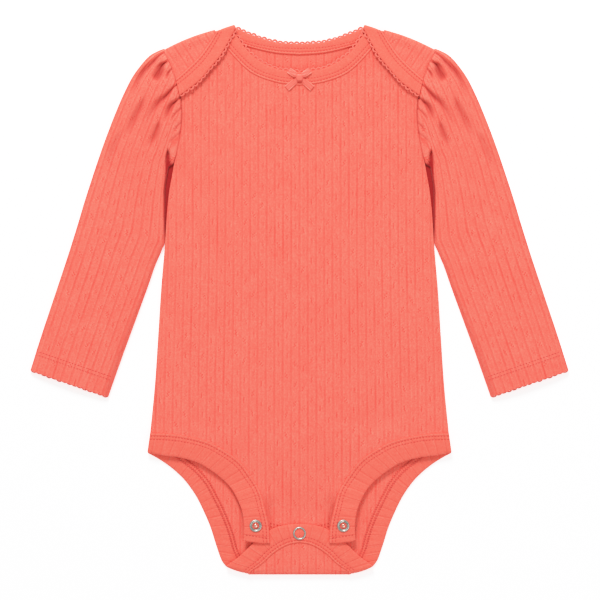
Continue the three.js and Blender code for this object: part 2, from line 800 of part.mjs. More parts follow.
add("back_panel", backPanel(), "knit");
add("front_panel", frontPanel(), "knit");
addPair("sleeve", sleeve(), "knit");
const neck = neckBands();
add("front_neck_band", neck.front, "band");
add("back_neck_band", neck.back, "band");
addPair("lap_band", lapBand(), "band");
const legs = legBands();
addPair("front_leg_band", legs.front, "band");
addPair("back_leg_band", legs.back, "band");
add("flap_band", flapBand(), "band");
const bowParts = bowPieces();
addPair("bow_loop", bowParts.loop, "satin");
addPair("bow_tail", bowParts.tail, "satin");
add("bow_knot", bowParts.knot, "satin");
add("snap_ring", turnedPiece(snapRing(), ringSnap, flapFloor + bandCloth + 0.2 + seam), "snap");
addPair("snap_stud", turnedPiece(snapStud(), studSnap, tabFloor + bandCloth + 0.25 + seam), "snap");

export default garment;
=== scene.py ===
import math
from functools import partialmethod
import bpy
from mathutils import Matrix, Vector
import numpy as np


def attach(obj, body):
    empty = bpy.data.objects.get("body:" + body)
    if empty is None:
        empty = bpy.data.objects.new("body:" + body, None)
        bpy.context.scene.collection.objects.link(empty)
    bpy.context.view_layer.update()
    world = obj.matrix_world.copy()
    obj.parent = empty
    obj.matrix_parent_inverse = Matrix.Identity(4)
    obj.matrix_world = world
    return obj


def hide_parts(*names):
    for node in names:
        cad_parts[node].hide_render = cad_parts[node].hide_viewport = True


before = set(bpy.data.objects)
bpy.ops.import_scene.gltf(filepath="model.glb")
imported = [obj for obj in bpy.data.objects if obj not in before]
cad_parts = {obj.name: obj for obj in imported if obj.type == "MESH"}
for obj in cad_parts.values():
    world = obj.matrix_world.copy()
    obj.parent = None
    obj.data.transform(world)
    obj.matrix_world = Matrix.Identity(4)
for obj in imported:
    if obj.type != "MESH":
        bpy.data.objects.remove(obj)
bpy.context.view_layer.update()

# Baby bodysuit in rib knit, laid flat on its back with the neck towards +Y. Lines are in mm and
# go to metres when a mesh is made; x is across, y runs from the crotch to the neck, and each line
# is that of the right half.
mm = 0.001
cloth = 1.2  # one layer of rib knit
bandCloth = 1.6  # doubled knit of the bands
layerGap = 0.3
bodyPuff = 1.8  # how far the front lifts off the back

sideSeam = [(116.3, -104), (112.7, -67), (110.2, -30), (107.8, 8), (105, 41), (102.3, 78),
            (97.9, 105)]
armhole = [(97.9, 105), (94.8, 117.5), (92.4, 131.5), (91.7, 145.5), (93.2, 159), (96.3, 172),
           (100.2, 182), (104.9, 192.2)]
frontNeckSewn = [(0, 167), (19.1, 169.6), (38.6, 177.6), (56, 195), (63.5, 206)]
frontNeckFree = [(0, 177.3), (19.1, 180.4), (36.5, 190), (48.5, 205), (51.5, 209.8)]
backNeckSewn = [(0, 191), (19.1, 192.5), (38.6, 197), (54.2, 202.6), (65.1, 207.9)]
backNeckFree = [(0, 199.4), (19.1, 200.9), (38.6, 207), (49.5, 211.7)]
lapSewn = [(65.1, 207.9), (71.7, 197.9), (78.4, 189), (87.4, 180), (96.3, 172)]
lapFree = [(49.5, 211.7), (54.6, 202.3), (61.3, 190.2), (68.8, 181), (77.8, 170.6), (86.2, 163.9),
           (93.2, 159)]
frontLegSewn = [(116.3, -104), (100.5, -104.6), (86.2, -106.7), (70.6, -111), (58.9, -117.2),
                (46.8, -125.8), (37.8, -137.5), (30.8, -149.2), (27.1, -163), (24.2, -176),
                (23.4, -189.3)]
frontLegFree = [(118.4, -118.8), (106.5, -121.3), (93.4, -123), (80.3, -126.6), (70.6, -132),
                (61.2, -139), (54, -146.1), (49.2, -153.9), (45, -164), (43.3, -175.7), (43.5, -187)]
backLegSewn = [(116.3, -104), (104.9, -111.7), (96.3, -118.8), (88.5, -124.4), (79.2, -131.6),
               (70.6, -141.6), (64.7, -152.3), (58.1, -165.6), (51.9, -181.9), (47.4, -197.5),
               (38, -212)]
backLegFree = [(118.2, -119.5), (112, -122.8), (104.5, -127.5), (97.3, -133), (90.2, -139.8),
               (84.6, -146.9), (79.8, -154.4), (75.2, -163.6), (69.6, -176.6), (64.8, -191.7),
               (60.9, -202.6), (57.5, -207.6)]
flapSewn = [(38, -211.5), (29, -205.4), (21.9, -198.7), (14.8, -193.6), (7.8, -190.4), (0, -189)]
flapFree = [(57, -207), (50.3, -202.5), (43.3, -196.6), (35.5, -189), (23.4, -179.6),
            (16.3, -176.5), (7.8, -174.9), (0, -174.5)]

flapFloor = 3.1  # the crotch flap lies on the front panel
tabFloor = 5.0  # the snap tabs lie on the flap's band
random = np.random.default_rng(7)


def smooth(low, high, value):
    share = np.clip((np.asarray(value, float) - low) / (high - low), 0, 1)
    return share * share * (3 - 2 * share)


def mix(a, b, share):
    return a + (b - a) * share


def curve(rows, count):
    # Evenly spaced points on a smooth line through the rows
    p = np.array(rows, float)
    p = np.vstack([2 * p[0] - p[1], p, 2 * p[-1] - p[-2]])
    dense = []
    for a, b, c, d in zip(p, p[1:], p[2:], p[3:]):
        t = np.linspace(0, 1, 40, endpoint=False)[:, None]
        dense.append(0.5 * (2 * b + (c - a) * t + (2 * a - 5 * b + 4 * c - d) * t**2
                            + (3 * b - a - 3 * c + d) * t**3))
    return spread(np.vstack([*dense, p[-2]]), count)


def spread(line, count):
    # The same line with its points evenly spaced
    run = np.append(0, np.cumsum(np.linalg.norm(np.diff(line, axis=0), axis=1)))
    at = np.linspace(0, run[-1], count)
    return np.stack([np.interp(at, run, axis) for axis in line.T], axis=1)


def bothSides(line):
    # A line from the middle outwards, continued on the left half
    return np.vstack([(line * [-1, 1])[::-1], line[1:]])


def sides(line):
    # Unit normal of a plan line at each point, to the left of its run
    run = np.gradient(line, axis=0)
    run /= np.linalg.norm(run, axis=1)[:, None]
    return np.stack([-run[:, 1], run[:, 0]], axis=1)


sideLine = curve(sideSeam, 60)
armholeLine = curve(armhole, 60)
edgeLine = np.vstack([sideLine, armholeLine[1:]])
hip, underarm = sideSeam[0][1], sideSeam[-1][1]
shoulderTop = np.array([104.9, 192.2])
neckCorner = np.array([65.1, 207.9])
onShoulder = np.array([105.7, 194.8])  # a place on the shoulder's fold
shoulderOut = np.array([0.332, 0.943])


def edgeX(y):
    return np.interp(y, edgeLine[:, 1], edgeLine[:, 0])


def cleftWidth(y):
    # The sleeve stands off the body's side under the arm
    return (0.5 * smooth(40, 50, y) + 0.9 * smooth(54, 70, y) + 2.2 * smooth(68, 92, y)) \
        * smooth(107, 102, y)


def frontFloor(x, y):
    # Height of the front panel's inside
    across = np.abs(x)
    fromSide = edgeX(np.minimum(y, underarm)) - across
    side = mix(smooth(0, 20, fromSide), 1, smooth(95, 125, y))
    toFold = -((across - onShoulder[0]) * shoulderOut[0] + (y - onShoulder[1]) * shoulderOut[1])
    shoulder = mix(0.22, 1, smooth(2, 30, toFold))
    crotch = smooth(-165, -90, y)
    overBand = 0.4 * smooth(-92, -106, y) * smooth(-165, -140, y)
    seamRise = 1.4 * smooth(15, 24, across) * smooth(-140, -152, y) * smooth(-161, -153, y)
    return cloth + layerGap + overBand + seamRise + bodyPuff * side * shoulder * crotch


def lapFloor(x, y):
    return frontFloor(x, y) + cloth + 0.5 + layerGap


# Small helpers for meshes
def deselect():
    bpy.ops.object.select_all(action="DESELECT")


def pick(piece):
    deselect()
    piece.select_set(True)
    bpy.context.view_layer.objects.active = piece


def editAll():
    bpy.ops.object.mode_set(mode="EDIT")
    bpy.ops.mesh.select_all(action="SELECT")


def gridMesh(name, points, uv):
    # A grid primitive with its corners laid on points, rows by columns, in mm
    rows, columns = points.shape[:2]
    deselect()
    bpy.ops.mesh.primitive_grid_add(x_subdivisions=columns - 1, y_subdivisions=rows - 1, size=1)
    piece = bpy.context.object
    piece.name = piece.data.name = name
    piece.data.vertices.foreach_set("co", (points.reshape(-1, 3) * mm).ravel())
    corner = np.empty(len(piece.data.loops), int)
    piece.data.loops.foreach_get("vertex_index", corner)
    piece.data.uv_layers[0].data.foreach_set("uv", (uv.reshape(-1, 2)[corner] * mm).ravel())
    piece.data.uv_layers[0].name = "cut"
    piece.data.update()
    return piece


def paint(piece, paintedShading):
    # Painted shade: how deep in a fold each corner of the cloth lies, which darkens its colour; values
    # below zero paint a highlight
    values = piece.data.attributes.new("paintedShading", "FLOAT", "POINT")
    values.data.foreach_set("value", np.asarray(paintedShading, float).ravel())


def weld(piece):
    # Merges corners that meet and turns the faces outwards
    pick(piece)
    editAll()
    bpy.ops.mesh.remove_doubles(threshold=0.00002)
    bpy.ops.mesh.normals_make_consistent(inside=False)
    bpy.ops.object.mode_set(mode="OBJECT")


def joined(name, parts):
    deselect()
    for part in parts:
        part.select_set(True)
    bpy.context.view_layer.objects.active = parts[0]
    bpy.ops.object.join()
    parts[0].name = parts[0].data.name = name
    return parts[0]


def smoothShaded(piece, angle=None):
    pick(piece)
    if angle:
        bpy.ops.object.shade_smooth_by_angle(angle=math.radians(angle))
    else:
        bpy.ops.object.shade_smooth()
    return piece


def mirrored(piece, name):
    # The same piece on the left half
    deselect()
    copy = piece.copy()
    copy.data = piece.data.copy()
    bpy.context.collection.objects.link(copy)
    copy.name = copy.data.name = name
    copy.data.transform(Matrix.Diagonal((-1, 1, 1, 1)))
    copy.data.flip_normals()
    return copy


def thicken(piece, depth, offset=-1):
    # A wall inside the surface, or on both sides of it at an offset of 0
    pick(piece)
    shell = piece.modifiers.new("shell", "SOLIDIFY")
    shell.thickness = depth * mm
    shell.offset = offset
    bpy.ops.object.modifier_apply(modifier="shell")


def facing(piece):
    # Turns the faces so that the upper side of the cloth looks up
    normal = np.empty(len(piece.data.polygons) * 3)
    piece.data.polygons.foreach_get("normal", normal)
    centre = np.empty(len(piece.data.polygons) * 3)
    piece.data.polygons.foreach_get("center", centre)
    upper = centre[2::3] > np.median(centre[2::3])
    if normal[2::3][upper].mean() <= 0:
        piece.data.flip_normals()


# Ribs: a dropped needle leaves a groove with a fine raised line beside it
rib = {"pitch": 6.4, "groove": 0.16, "line": 0.1, "wide": 0.6}
ribColumns = np.array([0, 0.45, 0.95, 1.6, 3.4, 5.2, 5.95])  # a panel's corners across one rib


def ribHeight(across):
    # Height of the cloth over a groove's bottom, across in mm from a groove
    beside = (across + rib["pitch"] / 2) % rib["pitch"] - rib["pitch"] / 2
    grown = 0.5 - rib["groove"] * np.exp(-((beside / rib["wide"]) ** 2))
    return grown + rib["line"] * np.exp(-(((beside - 1.0) / 0.4) ** 2))


def softCreases(x, y, rows):
    # Sum of soft valleys (x, y, heading in degrees, length, width, depth)
    total = np.zeros(np.shape(x))
    for atX, atY, heading, length, width, depth in rows:
        turn = math.radians(heading)
        along = (x - atX) * math.cos(turn) + (y - atY) * math.sin(turn)
        beside = -(x - atX) * math.sin(turn) + (y - atY) * math.cos(turn)
        beside = beside - 0.12 * np.sin(along / length * 3) * width
        total -= depth * np.exp(-((beside / width) ** 2)) * np.exp(-((2 * along / length) ** 2))
    return total


# Front panel: straight ribs, only the outermost follow the side seam and the armhole
front = {"half": 105.0, "straight": 78.0, "rows": 130}


def ribWarp(base, edge):
    beyond = np.maximum(np.abs(base) - front["straight"], 0)
    room = (edge - front["straight"]) / (front["half"] - front["straight"])
    return np.sign(base) * (np.minimum(np.abs(base), front["straight"]) + beyond * room)


def panelGrid(topLine, bottomLine, rows):
    # Plan points of a panel in rows of columns that follow its ribs, and the cut's own places
    count = int(front["half"] // rib["pitch"])
    base = np.concatenate([k * rib["pitch"] + ribColumns for k in range(count + 1)])
    base = np.append(base[base < front["half"] - 0.2], front["half"])
    base = np.concatenate([-base[:0:-1], base])
    topX = ribWarp(base, shoulderTop[0])
    lowX = ribWarp(base, sideSeam[0][0])
    top = np.interp(np.abs(topX), topLine[:, 0], topLine[:, 1])
    low = np.interp(np.abs(lowX), bottomLine[:, 0], bottomLine[:, 1])
    share = np.linspace(0, 1, rows + 1)[:, None]
    y = mix(low[None, :], top[None, :], share)
    x = ribWarp(base[None, :], edgeX(np.clip(y, hip, shoulderTop[1])))
    x = np.where(share == 0, lowX, np.where(share == 1, topX, x))
    # the ribs run nearly straight and are cut off by the side seams and the armholes
    straight = x * (1 - 0.03 * smooth(60, hip, y))
    return x, y, np.stack([straight, y], axis=-1), np.broadcast_to(np.abs(base), y.shape)


def increasing(line):
    return line[np.argsort(line[:, 0])]


def shoulderCurve(count):
    # The shoulder's fold from the armhole to the neck, slightly bowed out
    t = np.linspace(0, 1, count)[:, None]
    return shoulderTop + (neckCorner - shoulderTop) * t + shoulderOut * 1.5 * np.sin(math.pi * t) ** 0.8


frontTop = np.vstack([curve(frontNeckSewn, 80), shoulderTop])
frontLow = increasing(np.vstack([[0, -189.3], curve(frontLegSewn, 120)[::-1]]))
x, y, cut, _ = panelGrid(frontTop, frontLow, front["rows"])
underRibs = mix(0.1, ribHeight(cut[..., 0]), smooth(-166, -154, y))
soft = softCreases(x, y, [(-60, 60, 84, 150, 26, 0.35), (48, -20, 95, 170, 24, 0.4),
                          (-20, -60, 80, 120, 18, 0.3), (88, 100, 70, 60, 10, 0.35),
                          (-88, 96, 112, 60, 10, 0.35), (0, 120, 20, 90, 30, 0.2),
                          (70, -92, 20, 60, 9, 0.35), (-74, -94, 160, 60, 9, 0.35),
                          (20, -150, 100, 50, 9, 0.2), (-16, -140, 80, 60, 9, 0.2)])
rollWide = mix(3.4, 1.1, smooth(96, 112, y))
edgeRoll = smooth(0, 1, (edgeX(np.clip(y, hip, shoulderTop[1])) - np.abs(x)) / rollWide) - 1
height = frontFloor(x, y) + cloth + underRibs + soft * smooth(-150, -110, y) + edgeRoll * 0.7
frontPanel = gridMesh("frontPanel", np.stack([x, y, height], axis=-1), cut)
# painted shadow along the laps' edges, where they shade the front panel, and painted shade in the
# corners above the snap tabs
lapShade = np.full(x.shape, 99.0)
for px, py in curve(lapFree, 40):
    lapShade = np.minimum(lapShade, np.hypot(np.abs(x) - px, y - py))
tabShade = np.hypot((np.abs(x) - 24.5) / 3.2, (y + 168) / 8)
paint(frontPanel, 0.42 * np.exp(-((lapShade / 4.2) ** 2)) * smooth(160, 176, y)
      + 0.3 * np.exp(-(tabShade**2)))
facing(frontPanel)
thicken(frontPanel, cloth)
print("front panel", len(frontPanel.data.polygons))


def foldArc(line, outward, top, steps):
    # A fold that turns the cloth over from the surface to its upper lie
    turn = np.linspace(0, math.pi, steps + 1)[1:-1, None, None]
    out = top / 2 * np.sin(turn)
    z = top / 2 - top / 2 * np.cos(turn)
    flat = line[None] + outward * out
    return np.concatenate([flat, np.broadcast_to(z, flat.shape[:2] + (1,))], axis=-1)


def lying(line, z):
    heights = np.broadcast_to(np.asarray(z)[..., None], line.shape[:-1] + (1,))
    return np.concatenate([line, heights], axis=-1)


lapTop = cloth + lapFloor(*shoulderTop)
backNeck = curve(backNeckSewn, 60)
backLow = increasing(np.vstack([[0, -212], curve(backLegSewn, 140)[::-1]]))
backTop = np.vstack([backNeck[:-1], shoulderCurve(60)[::-1]])

# Back panel, lying on the surface with its outside down, ribs too
back = {"rows": 120, "edge": 104.5, "shade": (103.2, 103.9)}
x, y, cut, column = panelGrid(backTop, backLow, back["rows"])
# under the arm its edge reaches out below the cleft, in shade
standing = cleftWidth(y) + 1.1 * smooth(0, 0.6, cleftWidth(y))
x = x + np.sign(x) * standing * (column > back["edge"])
wave = 0.3 * smooth(20, 60, np.abs(x)) * smooth(-120, -175, y) * (0.5 + 0.5 * np.sin(y / 9))
backPanel = gridMesh("backPanel", np.stack([x, y, cloth + wave], axis=-1), cut)
# painted shade on the edge where it lies in the cleft under the arm
paint(backPanel, 1.6 * smooth(*back["shade"], column) * smooth(0, 0.5, cleftWidth(y)))
facing(backPanel)
thicken(backPanel, cloth - 0.1)

# Shoulder laps: from the back panel round the shoulder's fold down to their bands
lap = {"columns": 72, "rows": 44, "foldSteps": 10}
lapGrain = np.array([0.839, -0.545])  # across the lap's ribs
seamTop = curve(lapSewn, lap["columns"] + 1)[::-1]
foldLine = shoulderCurve(lap["columns"] + 1)
share = np.linspace(0, 1, lap["rows"] + 1)[1:, None, None] ** 1.1
plan = mix(foldLine[None], seamTop[None], share)
edgeY = mix(shoulderTop[1], armhole[5][1], share[:, 0, 0])
onSeam = np.stack([edgeX(edgeY), edgeY], axis=-1)[:, None]
toSeam = smooth(0.4, 0, np.linspace(0, 1, lap["columns"] + 1))[None, :, None]
plan = plan + (onSeam - plan[:, :1]) * toSeam
arc = foldArc(foldLine, shoulderOut, lapTop, lap["foldSteps"])
steps = np.linalg.norm(np.diff(np.concatenate([foldLine[None], plan]), axis=0), axis=-1)
run = np.concatenate([np.zeros((1, lap["columns"] + 1)), np.cumsum(steps, axis=0)])
lapHeight = lapFloor(plan[..., 0], plan[..., 1]) + cloth
diagonal = plan[..., 0] * lapGrain[0] + plan[..., 1] * lapGrain[1]
lapHeight = lapHeight + ribHeight(diagonal) * smooth(0, 0.12, share[..., 0]) * 0.8
lapHeight += softCreases(plan[..., 0], plan[..., 1], [(88, 192, 150, 26, 3.2, 0.35),
                                                      (97, 184, 120, 22, 2.6, 0.4),
                                                      (76, 199, 165, 24, 3.0, 0.25)])
start = lying(foldLine, np.zeros(len(foldLine)))[None]
points = np.concatenate([start, arc, lying(plan, lapHeight)])
foldShape = lap["foldSteps"], lap["columns"] + 1
roundFold = -np.linspace(1, 0, lap["foldSteps"])[:, None] * math.pi * lapTop / 2 * np.ones(foldShape)
cutX = np.concatenate([np.broadcast_to(foldLine @ lapGrain, foldShape), diagonal])
cut = np.stack([cutX, np.concatenate([roundFold, run[1:]])], axis=-1)
rightLap = gridMesh("rightLap", points, cut)
facing(rightLap)
thicken(rightLap, cloth)
leftLap = mirrored(rightLap, "leftLap")

# Crotch flap: folded up over the front panel
flap = {"columns": 110, "rows": 24, "foldSteps": 10, "half": 39.3, "fold": -212.0}
foldX = np.linspace(-flap["half"], flap["half"], flap["columns"] + 1)
foldLine = np.stack([foldX, np.full_like(foldX, flap["fold"])], axis=-1)
seamLine = curve(flapSewn, 80)[::-1]
ends = np.stack([foldX, np.interp(np.abs(foldX), seamLine[:, 0], seamLine[:, 1])], axis=-1)
share = np.linspace(0, 1, flap["rows"] + 1)[1:, None, None]
plan = mix(foldLine[None], ends[None], share)
arc = foldArc(foldLine, np.array([0, -1]), flapFloor + cloth, flap["foldSteps"])
onTop = flapFloor + cloth + 0.8 * ribHeight(plan[..., 0]) * smooth(0, 0.2, share[..., 0])
onTop += softCreases(plan[..., 0], plan[..., 1], [(-14, -203, 60, 18, 2.5, 0.25),
                                                  (17, -203, 118, 18, 2.5, 0.25)])
points = np.concatenate([lying(foldLine, np.zeros(len(foldLine)))[None], arc, lying(plan, onTop)])
cut = np.stack([np.broadcast_to(foldX, points.shape[:2]), points[..., 1]], axis=-1)
crotchFlap = gridMesh("crotchFlap", points, cut)
facing(crotchFlap)
thicken(crotchFlap, cloth)
backPanel = joined("backPanel", [backPanel, rightLap, leftLap, crotchFlap])
print("back panel with laps and flap", len(backPanel.data.polygons))

# Sleeve: a tube from the cuff to the armhole seam, flat below and gathered at its cap
sleeve = {"upper": 176, "fold": 8, "lower": 26, "rows": 150, "puffCuff": 1.8, "puffCap": 3.3,
          "foldGap": 0.5, "hem": 16.4, "hemRise": 0.45, "stitches": (13.2, 15.9), "ribs": 9,
          "straight": 30, "lift": 2.1, "parting": 7}
cuffMiddle = np.array([179.6, -65.4])
sleeveAlong = np.array([-0.324, 0.946])
sleeveOut = np.array([0.946, 0.324])
# along, reach of the outer fold and of the inner fold
sleeveRows = np.array([(0, 31.9, 32.2), (15.8, 32.3, 32.3), (16.6, 32.4, 32.3), (36, 32.7, 32.5),
                       (88, 33.1, 33.6), (108, 33.5, 33.7), (124, 34, 34.5), (138, 34.6, 31.6),
                       (160, 35, 25.7), (180, 35.1, 22.6), (196, 34.8, 23), (212, 34.1, 23),
                       (228, 32.8, 23), (244, 30.3, 23), (260, 24.6, 23), (268, 18.2, 23),
                       (276, 8, 23)])
# gathers of the cap: a line from the armhole seam outwards, its depth, its widths at the seam and
# further out, and the share of the line from which it fades
gathers = [
    ([(105.7, 192.2), (108.1, 190.9), (110.6, 188.8), (113.3, 185.9), (117.2, 182.4), (121, 178.6),
      (124.1, 174), (126.6, 169.2), (128.7, 163.6), (131.5, 155)], 2.5, 0.9, 2.8, 0.4),
    ([(103.2, 185.2), (106.7, 183), (108.3, 180.3), (109.5, 176.8), (111.6, 173.6), (115.1, 171)],
     3.4, 0.9, 3.4, 0.75),
    ([(99.6, 179.3), (102, 176.5), (103.4, 173), (104.8, 169.9)], 1.6, 0.7, 1.3, 0.4),
    ([(95.7, 166.9), (98.9, 164.4), (101.7, 161.1), (104.6, 158), (108.8, 154.5), (112.6, 150),
      (116.1, 144.5), (119.6, 138.5), (122, 132.3)], 2.9, 0.85, 2.6, 0.2),
    ([(93.1, 157.3), (96.3, 154.4), (99.2, 151.9), (101.5, 148.3), (103.2, 144.1), (104.8, 139.9),
      (106.7, 135.7)], 2.9, 0.85, 2.4, 0.35),
    ([(92, 149), (95.4, 146.1), (98.2, 142.4), (99.9, 138.2), (100.5, 135.7)], 0.9, 0.6, 0.9, 0.4),
    ([(92.3, 137.8), (95, 135.3), (97.1, 131.9), (98.4, 128.4)], 0.8, 0.6, 0.8, 0.4),
    ([(93, 130.2), (96.6, 127.4), (100.6, 123.2), (103.8, 119.7)], 0.7, 0.6, 0.9, 0.4),
    ([(119.6, 159.8), (122, 154.5), (124.5, 149), (127.6, 143.4), (131.1, 136.4), (134.6, 129.5),
      (138.1, 122.5)], 2.0, 1.8, 2.8, 0.5),
    ([(108.5, 139.9), (110.3, 134.4), (112.6, 127.7), (115.1, 122.5), (117.9, 116.2)],
     2.2, 1.4, 2.3, 0.5),
    ([(138.1, 133), (142.2, 124.6), (146.4, 114.9), (150.6, 105.1), (153.4, 98.1)],
     1.2, 2, 3.4, 0.5),
]


def reachAt(at, column):
    # Reach of a fold, smooth above the hem
    soft = curve(sleeveRows[3:, [0, column]], 400)
    rising = np.vstack([sleeveRows[:3, [0, column]], soft])
    return np.interp(at, rising[:, 0], rising[:, 1])


def placed(along, out):
    return cuffMiddle + along[..., None] * sleeveAlong + out[..., None] * sleeveOut


def innerReach(along):
    # The inner fold lies beside the body's side seam up to the underarm
    reach = reachAt(along, 2)
    limit = reach.copy()
    for _ in range(4):
        p = placed(along, -limit)
        body = edgeX(np.clip(p[..., 1], hip, underarm)) + 0.1
        limit = (cuffMiddle[0] + along * sleeveAlong[0] - body) / sleeveOut[0]
    near = mix(np.minimum(reach, limit), limit, smooth(122, 129, along))
    return mix(reach, near, smooth(60, 75, along) * smooth(192, 184, along))


def outPosition(along, u):
    # Place across the sleeve, u from its inner fold to its outer fold
    fold = 1.45
    inner, outer = -innerReach(along) + fold, reachAt(along, 1) - fold
    return placed(along, mix(inner, outer, u))


def seamAlong(u):
    # How far along the sleeve a line meets the armhole seam
    tries = np.linspace(120, 276, 800)
    p = outPosition(tries, np.full_like(tries, u))
    gap = p[:, 0] - (edgeX(p[:, 1]) - 0.15)
    gap = np.where(p[:, 1] < 104, 1, gap)
    hit = np.argmax(gap <= 0) if (gap <= 0).any() else len(tries) - 1
    low = max(hit - 1, 0)
    share = gap[low] / (gap[low] - gap[hit]) if gap[low] != gap[hit] else 0
    return mix(tries[low], tries[hit], np.clip(share, 0, 1))


def gatherRelief(x, y, folds):
    # Valleys along the gathers' lines, narrow at the seam and wide down the sleeve
    place = np.stack([x, y], axis=-1)[..., None, :]
    total = np.zeros(x.shape)
    for rows, deep, narrow, wide, ebb in folds:
        line = curve(rows, 60)
        away = np.linalg.norm(place - line, axis=-1)
        nearest = away.argmin(axis=-1)
        share = nearest / (len(line) - 1)
        beside = away.min(axis=-1)
        width = mix(narrow, wide, smooth(0, 0.5, share))
        begin = 0.6 if narrow < 1.1 else 0.1
        fade = mix(begin, 1, smooth(0, 0.25, share)) * smooth(1.02, ebb, share)
        total -= deep * fade * np.exp(-((beside / width) ** 2))
    return total


def inCleft(x, y):
    # Share of the cleft between the sleeve and the body, from its top under the arm down
    web = np.interp(y, [98.5, 103.7, 110, 116.2], [90, 98.9, 100.5, 102.5])
    above = np.interp(y, [94, 105, 112, 116.2], [104.3, 104.3, 103.9, 102.9])
    wide = np.interp(y, [42, 50, 60, 70, 82, 94], [0.5, 1, 1.5, 2.6, 3.9, 4.6])
    stop = np.where(y < 94, edgeX(np.clip(y, hip, 94)) + wide, above)
    return smooth(web - 0.4, web + 0.4, x) * smooth(stop + 0.8, stop - 0.5, x) \
        * smooth(117.5, 115, y) * smooth(40, 48, y)


u = np.concatenate([np.linspace(0, 1, sleeve["upper"] + 1), np.ones(sleeve["fold"]),
                    np.linspace(1, 0, sleeve["lower"] + 1), np.zeros(sleeve["fold"])])
upper = np.arange(len(u)) <= sleeve["upper"]
outerFold = slice(sleeve["upper"] + 1, sleeve["upper"] + 1 + sleeve["fold"])
innerFold = slice(len(u) - sleeve["fold"], len(u))
end = np.array([seamAlong(value) for value in u])
rowShare = np.linspace(0, 1, sleeve["rows"] + 1)[:, None]
# rows run straight across at the hem, and lie closer towards the armhole seam
near = sleeve["straight"] * np.minimum(rowShare / 0.12, 1)
far = np.maximum(rowShare - 0.12, 0) / 0.88
far = mix(far, 1 - (1 - far) ** 1.35, 0.6)
along = near + (end[None] - sleeve["straight"]) * far
plan = outPosition(along, np.broadcast_to(u, along.shape))
x, y = plan[..., 0], plan[..., 1]
# beside the body the whole fold stands back, which leaves a dark cleft
setBack = cleftWidth(y[:, :1]) * smooth(0.3, 0, u)
x += setBack * sleeveOut[0]
y += setBack * sleeveOut[1]
capShare = smooth(120, 240, along)
puff = mix(sleeve["puffCuff"], sleeve["puffCap"], capShare) * np.sin(math.pi * u) ** 0.6
ribAt = u * (sleeve["ribs"] * rib["pitch"]) + 0.5 * rib["pitch"]
fadeRib = smooth(0, 0.05, u) * smooth(1, 0.95, u)
ribs = mix(0.25, ribHeight(ribAt[None]) * mix(1.25, 0.7, capShare), fadeRib)
pastHem = smooth(sleeve["hem"] - 0.8, sleeve["hem"] + 1.2, along)
ribs = ribs * pastHem + (1 - pastHem) * (ribs * 0.55 + sleeve["hemRise"])
wrinkles = softCreases(x, y, [(150, 40, 112, 46, 7, 0.5), (128, 96, 100, 60, 6, 0.6),
                              (160, -10, 118, 70, 9, 0.45), (134, 60, 128, 40, 5, 0.45),
                              (176, -30, 108, 60, 7, 0.35), (118, 78, 96, 50, 4, 0.7),
                              (142, 20, 104, 60, 8, 0.3)])
gathered = gatherRelief(x, y, gathers)
parting = -sleeve["parting"] * inCleft(x, y)
offInner = np.hypot(x - x[:, :1], y - y[:, :1])
# thin lines of painted shade along the first gathers, crisp at the seam
fine = gatherRelief(x, y, [(rows, 1.0, 0.5, 0.6, 0.3) for rows, *_ in gathers[:8]])
# painted shade in the gathers' valleys, in the cleft and towards the sleeve's inner edge
paintedFoldShade = np.clip(-gathered / 3.1, 0, 0.95) - parting * 0.22 - fine * 0.55 \
    + 0.36 * smooth(5.5, 0.4, offInner) * smooth(118, 108, y)
nearSeam = end[None] - along
offSeam = np.where(y > 104, x - edgeX(y), 9)
lift = sleeve["lift"] * smooth(60, 3, nearSeam) * smooth(150, 200, along) * np.sin(math.pi * u) ** 0.5
height = cloth + sleeve["foldGap"] + puff + cloth + ribs + wrinkles * fadeRib * 0.5 \
    + gathered * fadeRib + lift + parting
rollIn = -1.0 * smooth(1.3, 0, offSeam) * fadeRib
height = np.maximum(height + rollIn, cloth * 2 + 0.25)
z = np.where(upper[None], height, 0.0)
# painted highlight on the cap's crests near the armhole seam, away from the folds
paintedCrestLight = 0.3 * smooth(42, 10, nearSeam) * smooth(150, 200, along) * (1 - np.clip(paintedFoldShade * 2, 0, 1))
# painted fold shade less the crest highlight, with painted shade in the crease along the armhole seam;
# the lower side gets none
paintedShading = np.where(upper[None], paintedFoldShade - paintedCrestLight + 1.05 * smooth(1.0, 0.25, offSeam), 0.0)
upperFace = x, y, height
# painted shade on the inner fold where it lies in the cleft
paintedShading[:, innerFold] = 1.5 * smooth(44, 58, y[:, :1]) * smooth(112, 108, y[:, :1])

radius = (2 * cloth + sleeve["foldGap"]) / 2
for part, sign, angles in ((outerFold, 1, np.linspace(90, -90, sleeve["fold"] + 2)[1:-1]),
                           (innerFold, -1, np.linspace(-90, 90, sleeve["fold"] + 2)[1:-1])):
    turn = np.radians(angles)
    x[:, part] += sign * sleeveOut[0] * radius * np.cos(turn)
    y[:, part] += sign * sleeveOut[1] * radius * np.cos(turn)
    z[:, part] = radius + radius * np.sin(turn) + (0.25 * (np.sin(turn) > 0))
belowRib = np.where(upper, ribAt, ribAt + rib["pitch"] * 0.5)
cut = np.stack([np.broadcast_to(belowRib, along.shape), along], axis=-1)


def closing(values):
    return np.concatenate([values, values[:, :1]], axis=1)


sleeveRight = gridMesh("sleeveRight", closing(np.stack([x, y, z], axis=-1)), closing(cut))
paint(sleeveRight, closing(paintedShading))
weld(sleeveRight)
facing(sleeveRight)
thicken(sleeveRight, cloth)
sleeveLeft = mirrored(sleeveRight, "sleeveLeft")
print("sleeves", len(sleeveRight.data.polygons))


# Bands: doubled knit with a folded free edge, one closed tube each. The lip stands over the cloth
# that the band is sewn to, and two rows of stitches run beside the sewn edge
bandShape = {"lip": 0.55, "rows": (2.0, 4.7), "foldSteps": 10}


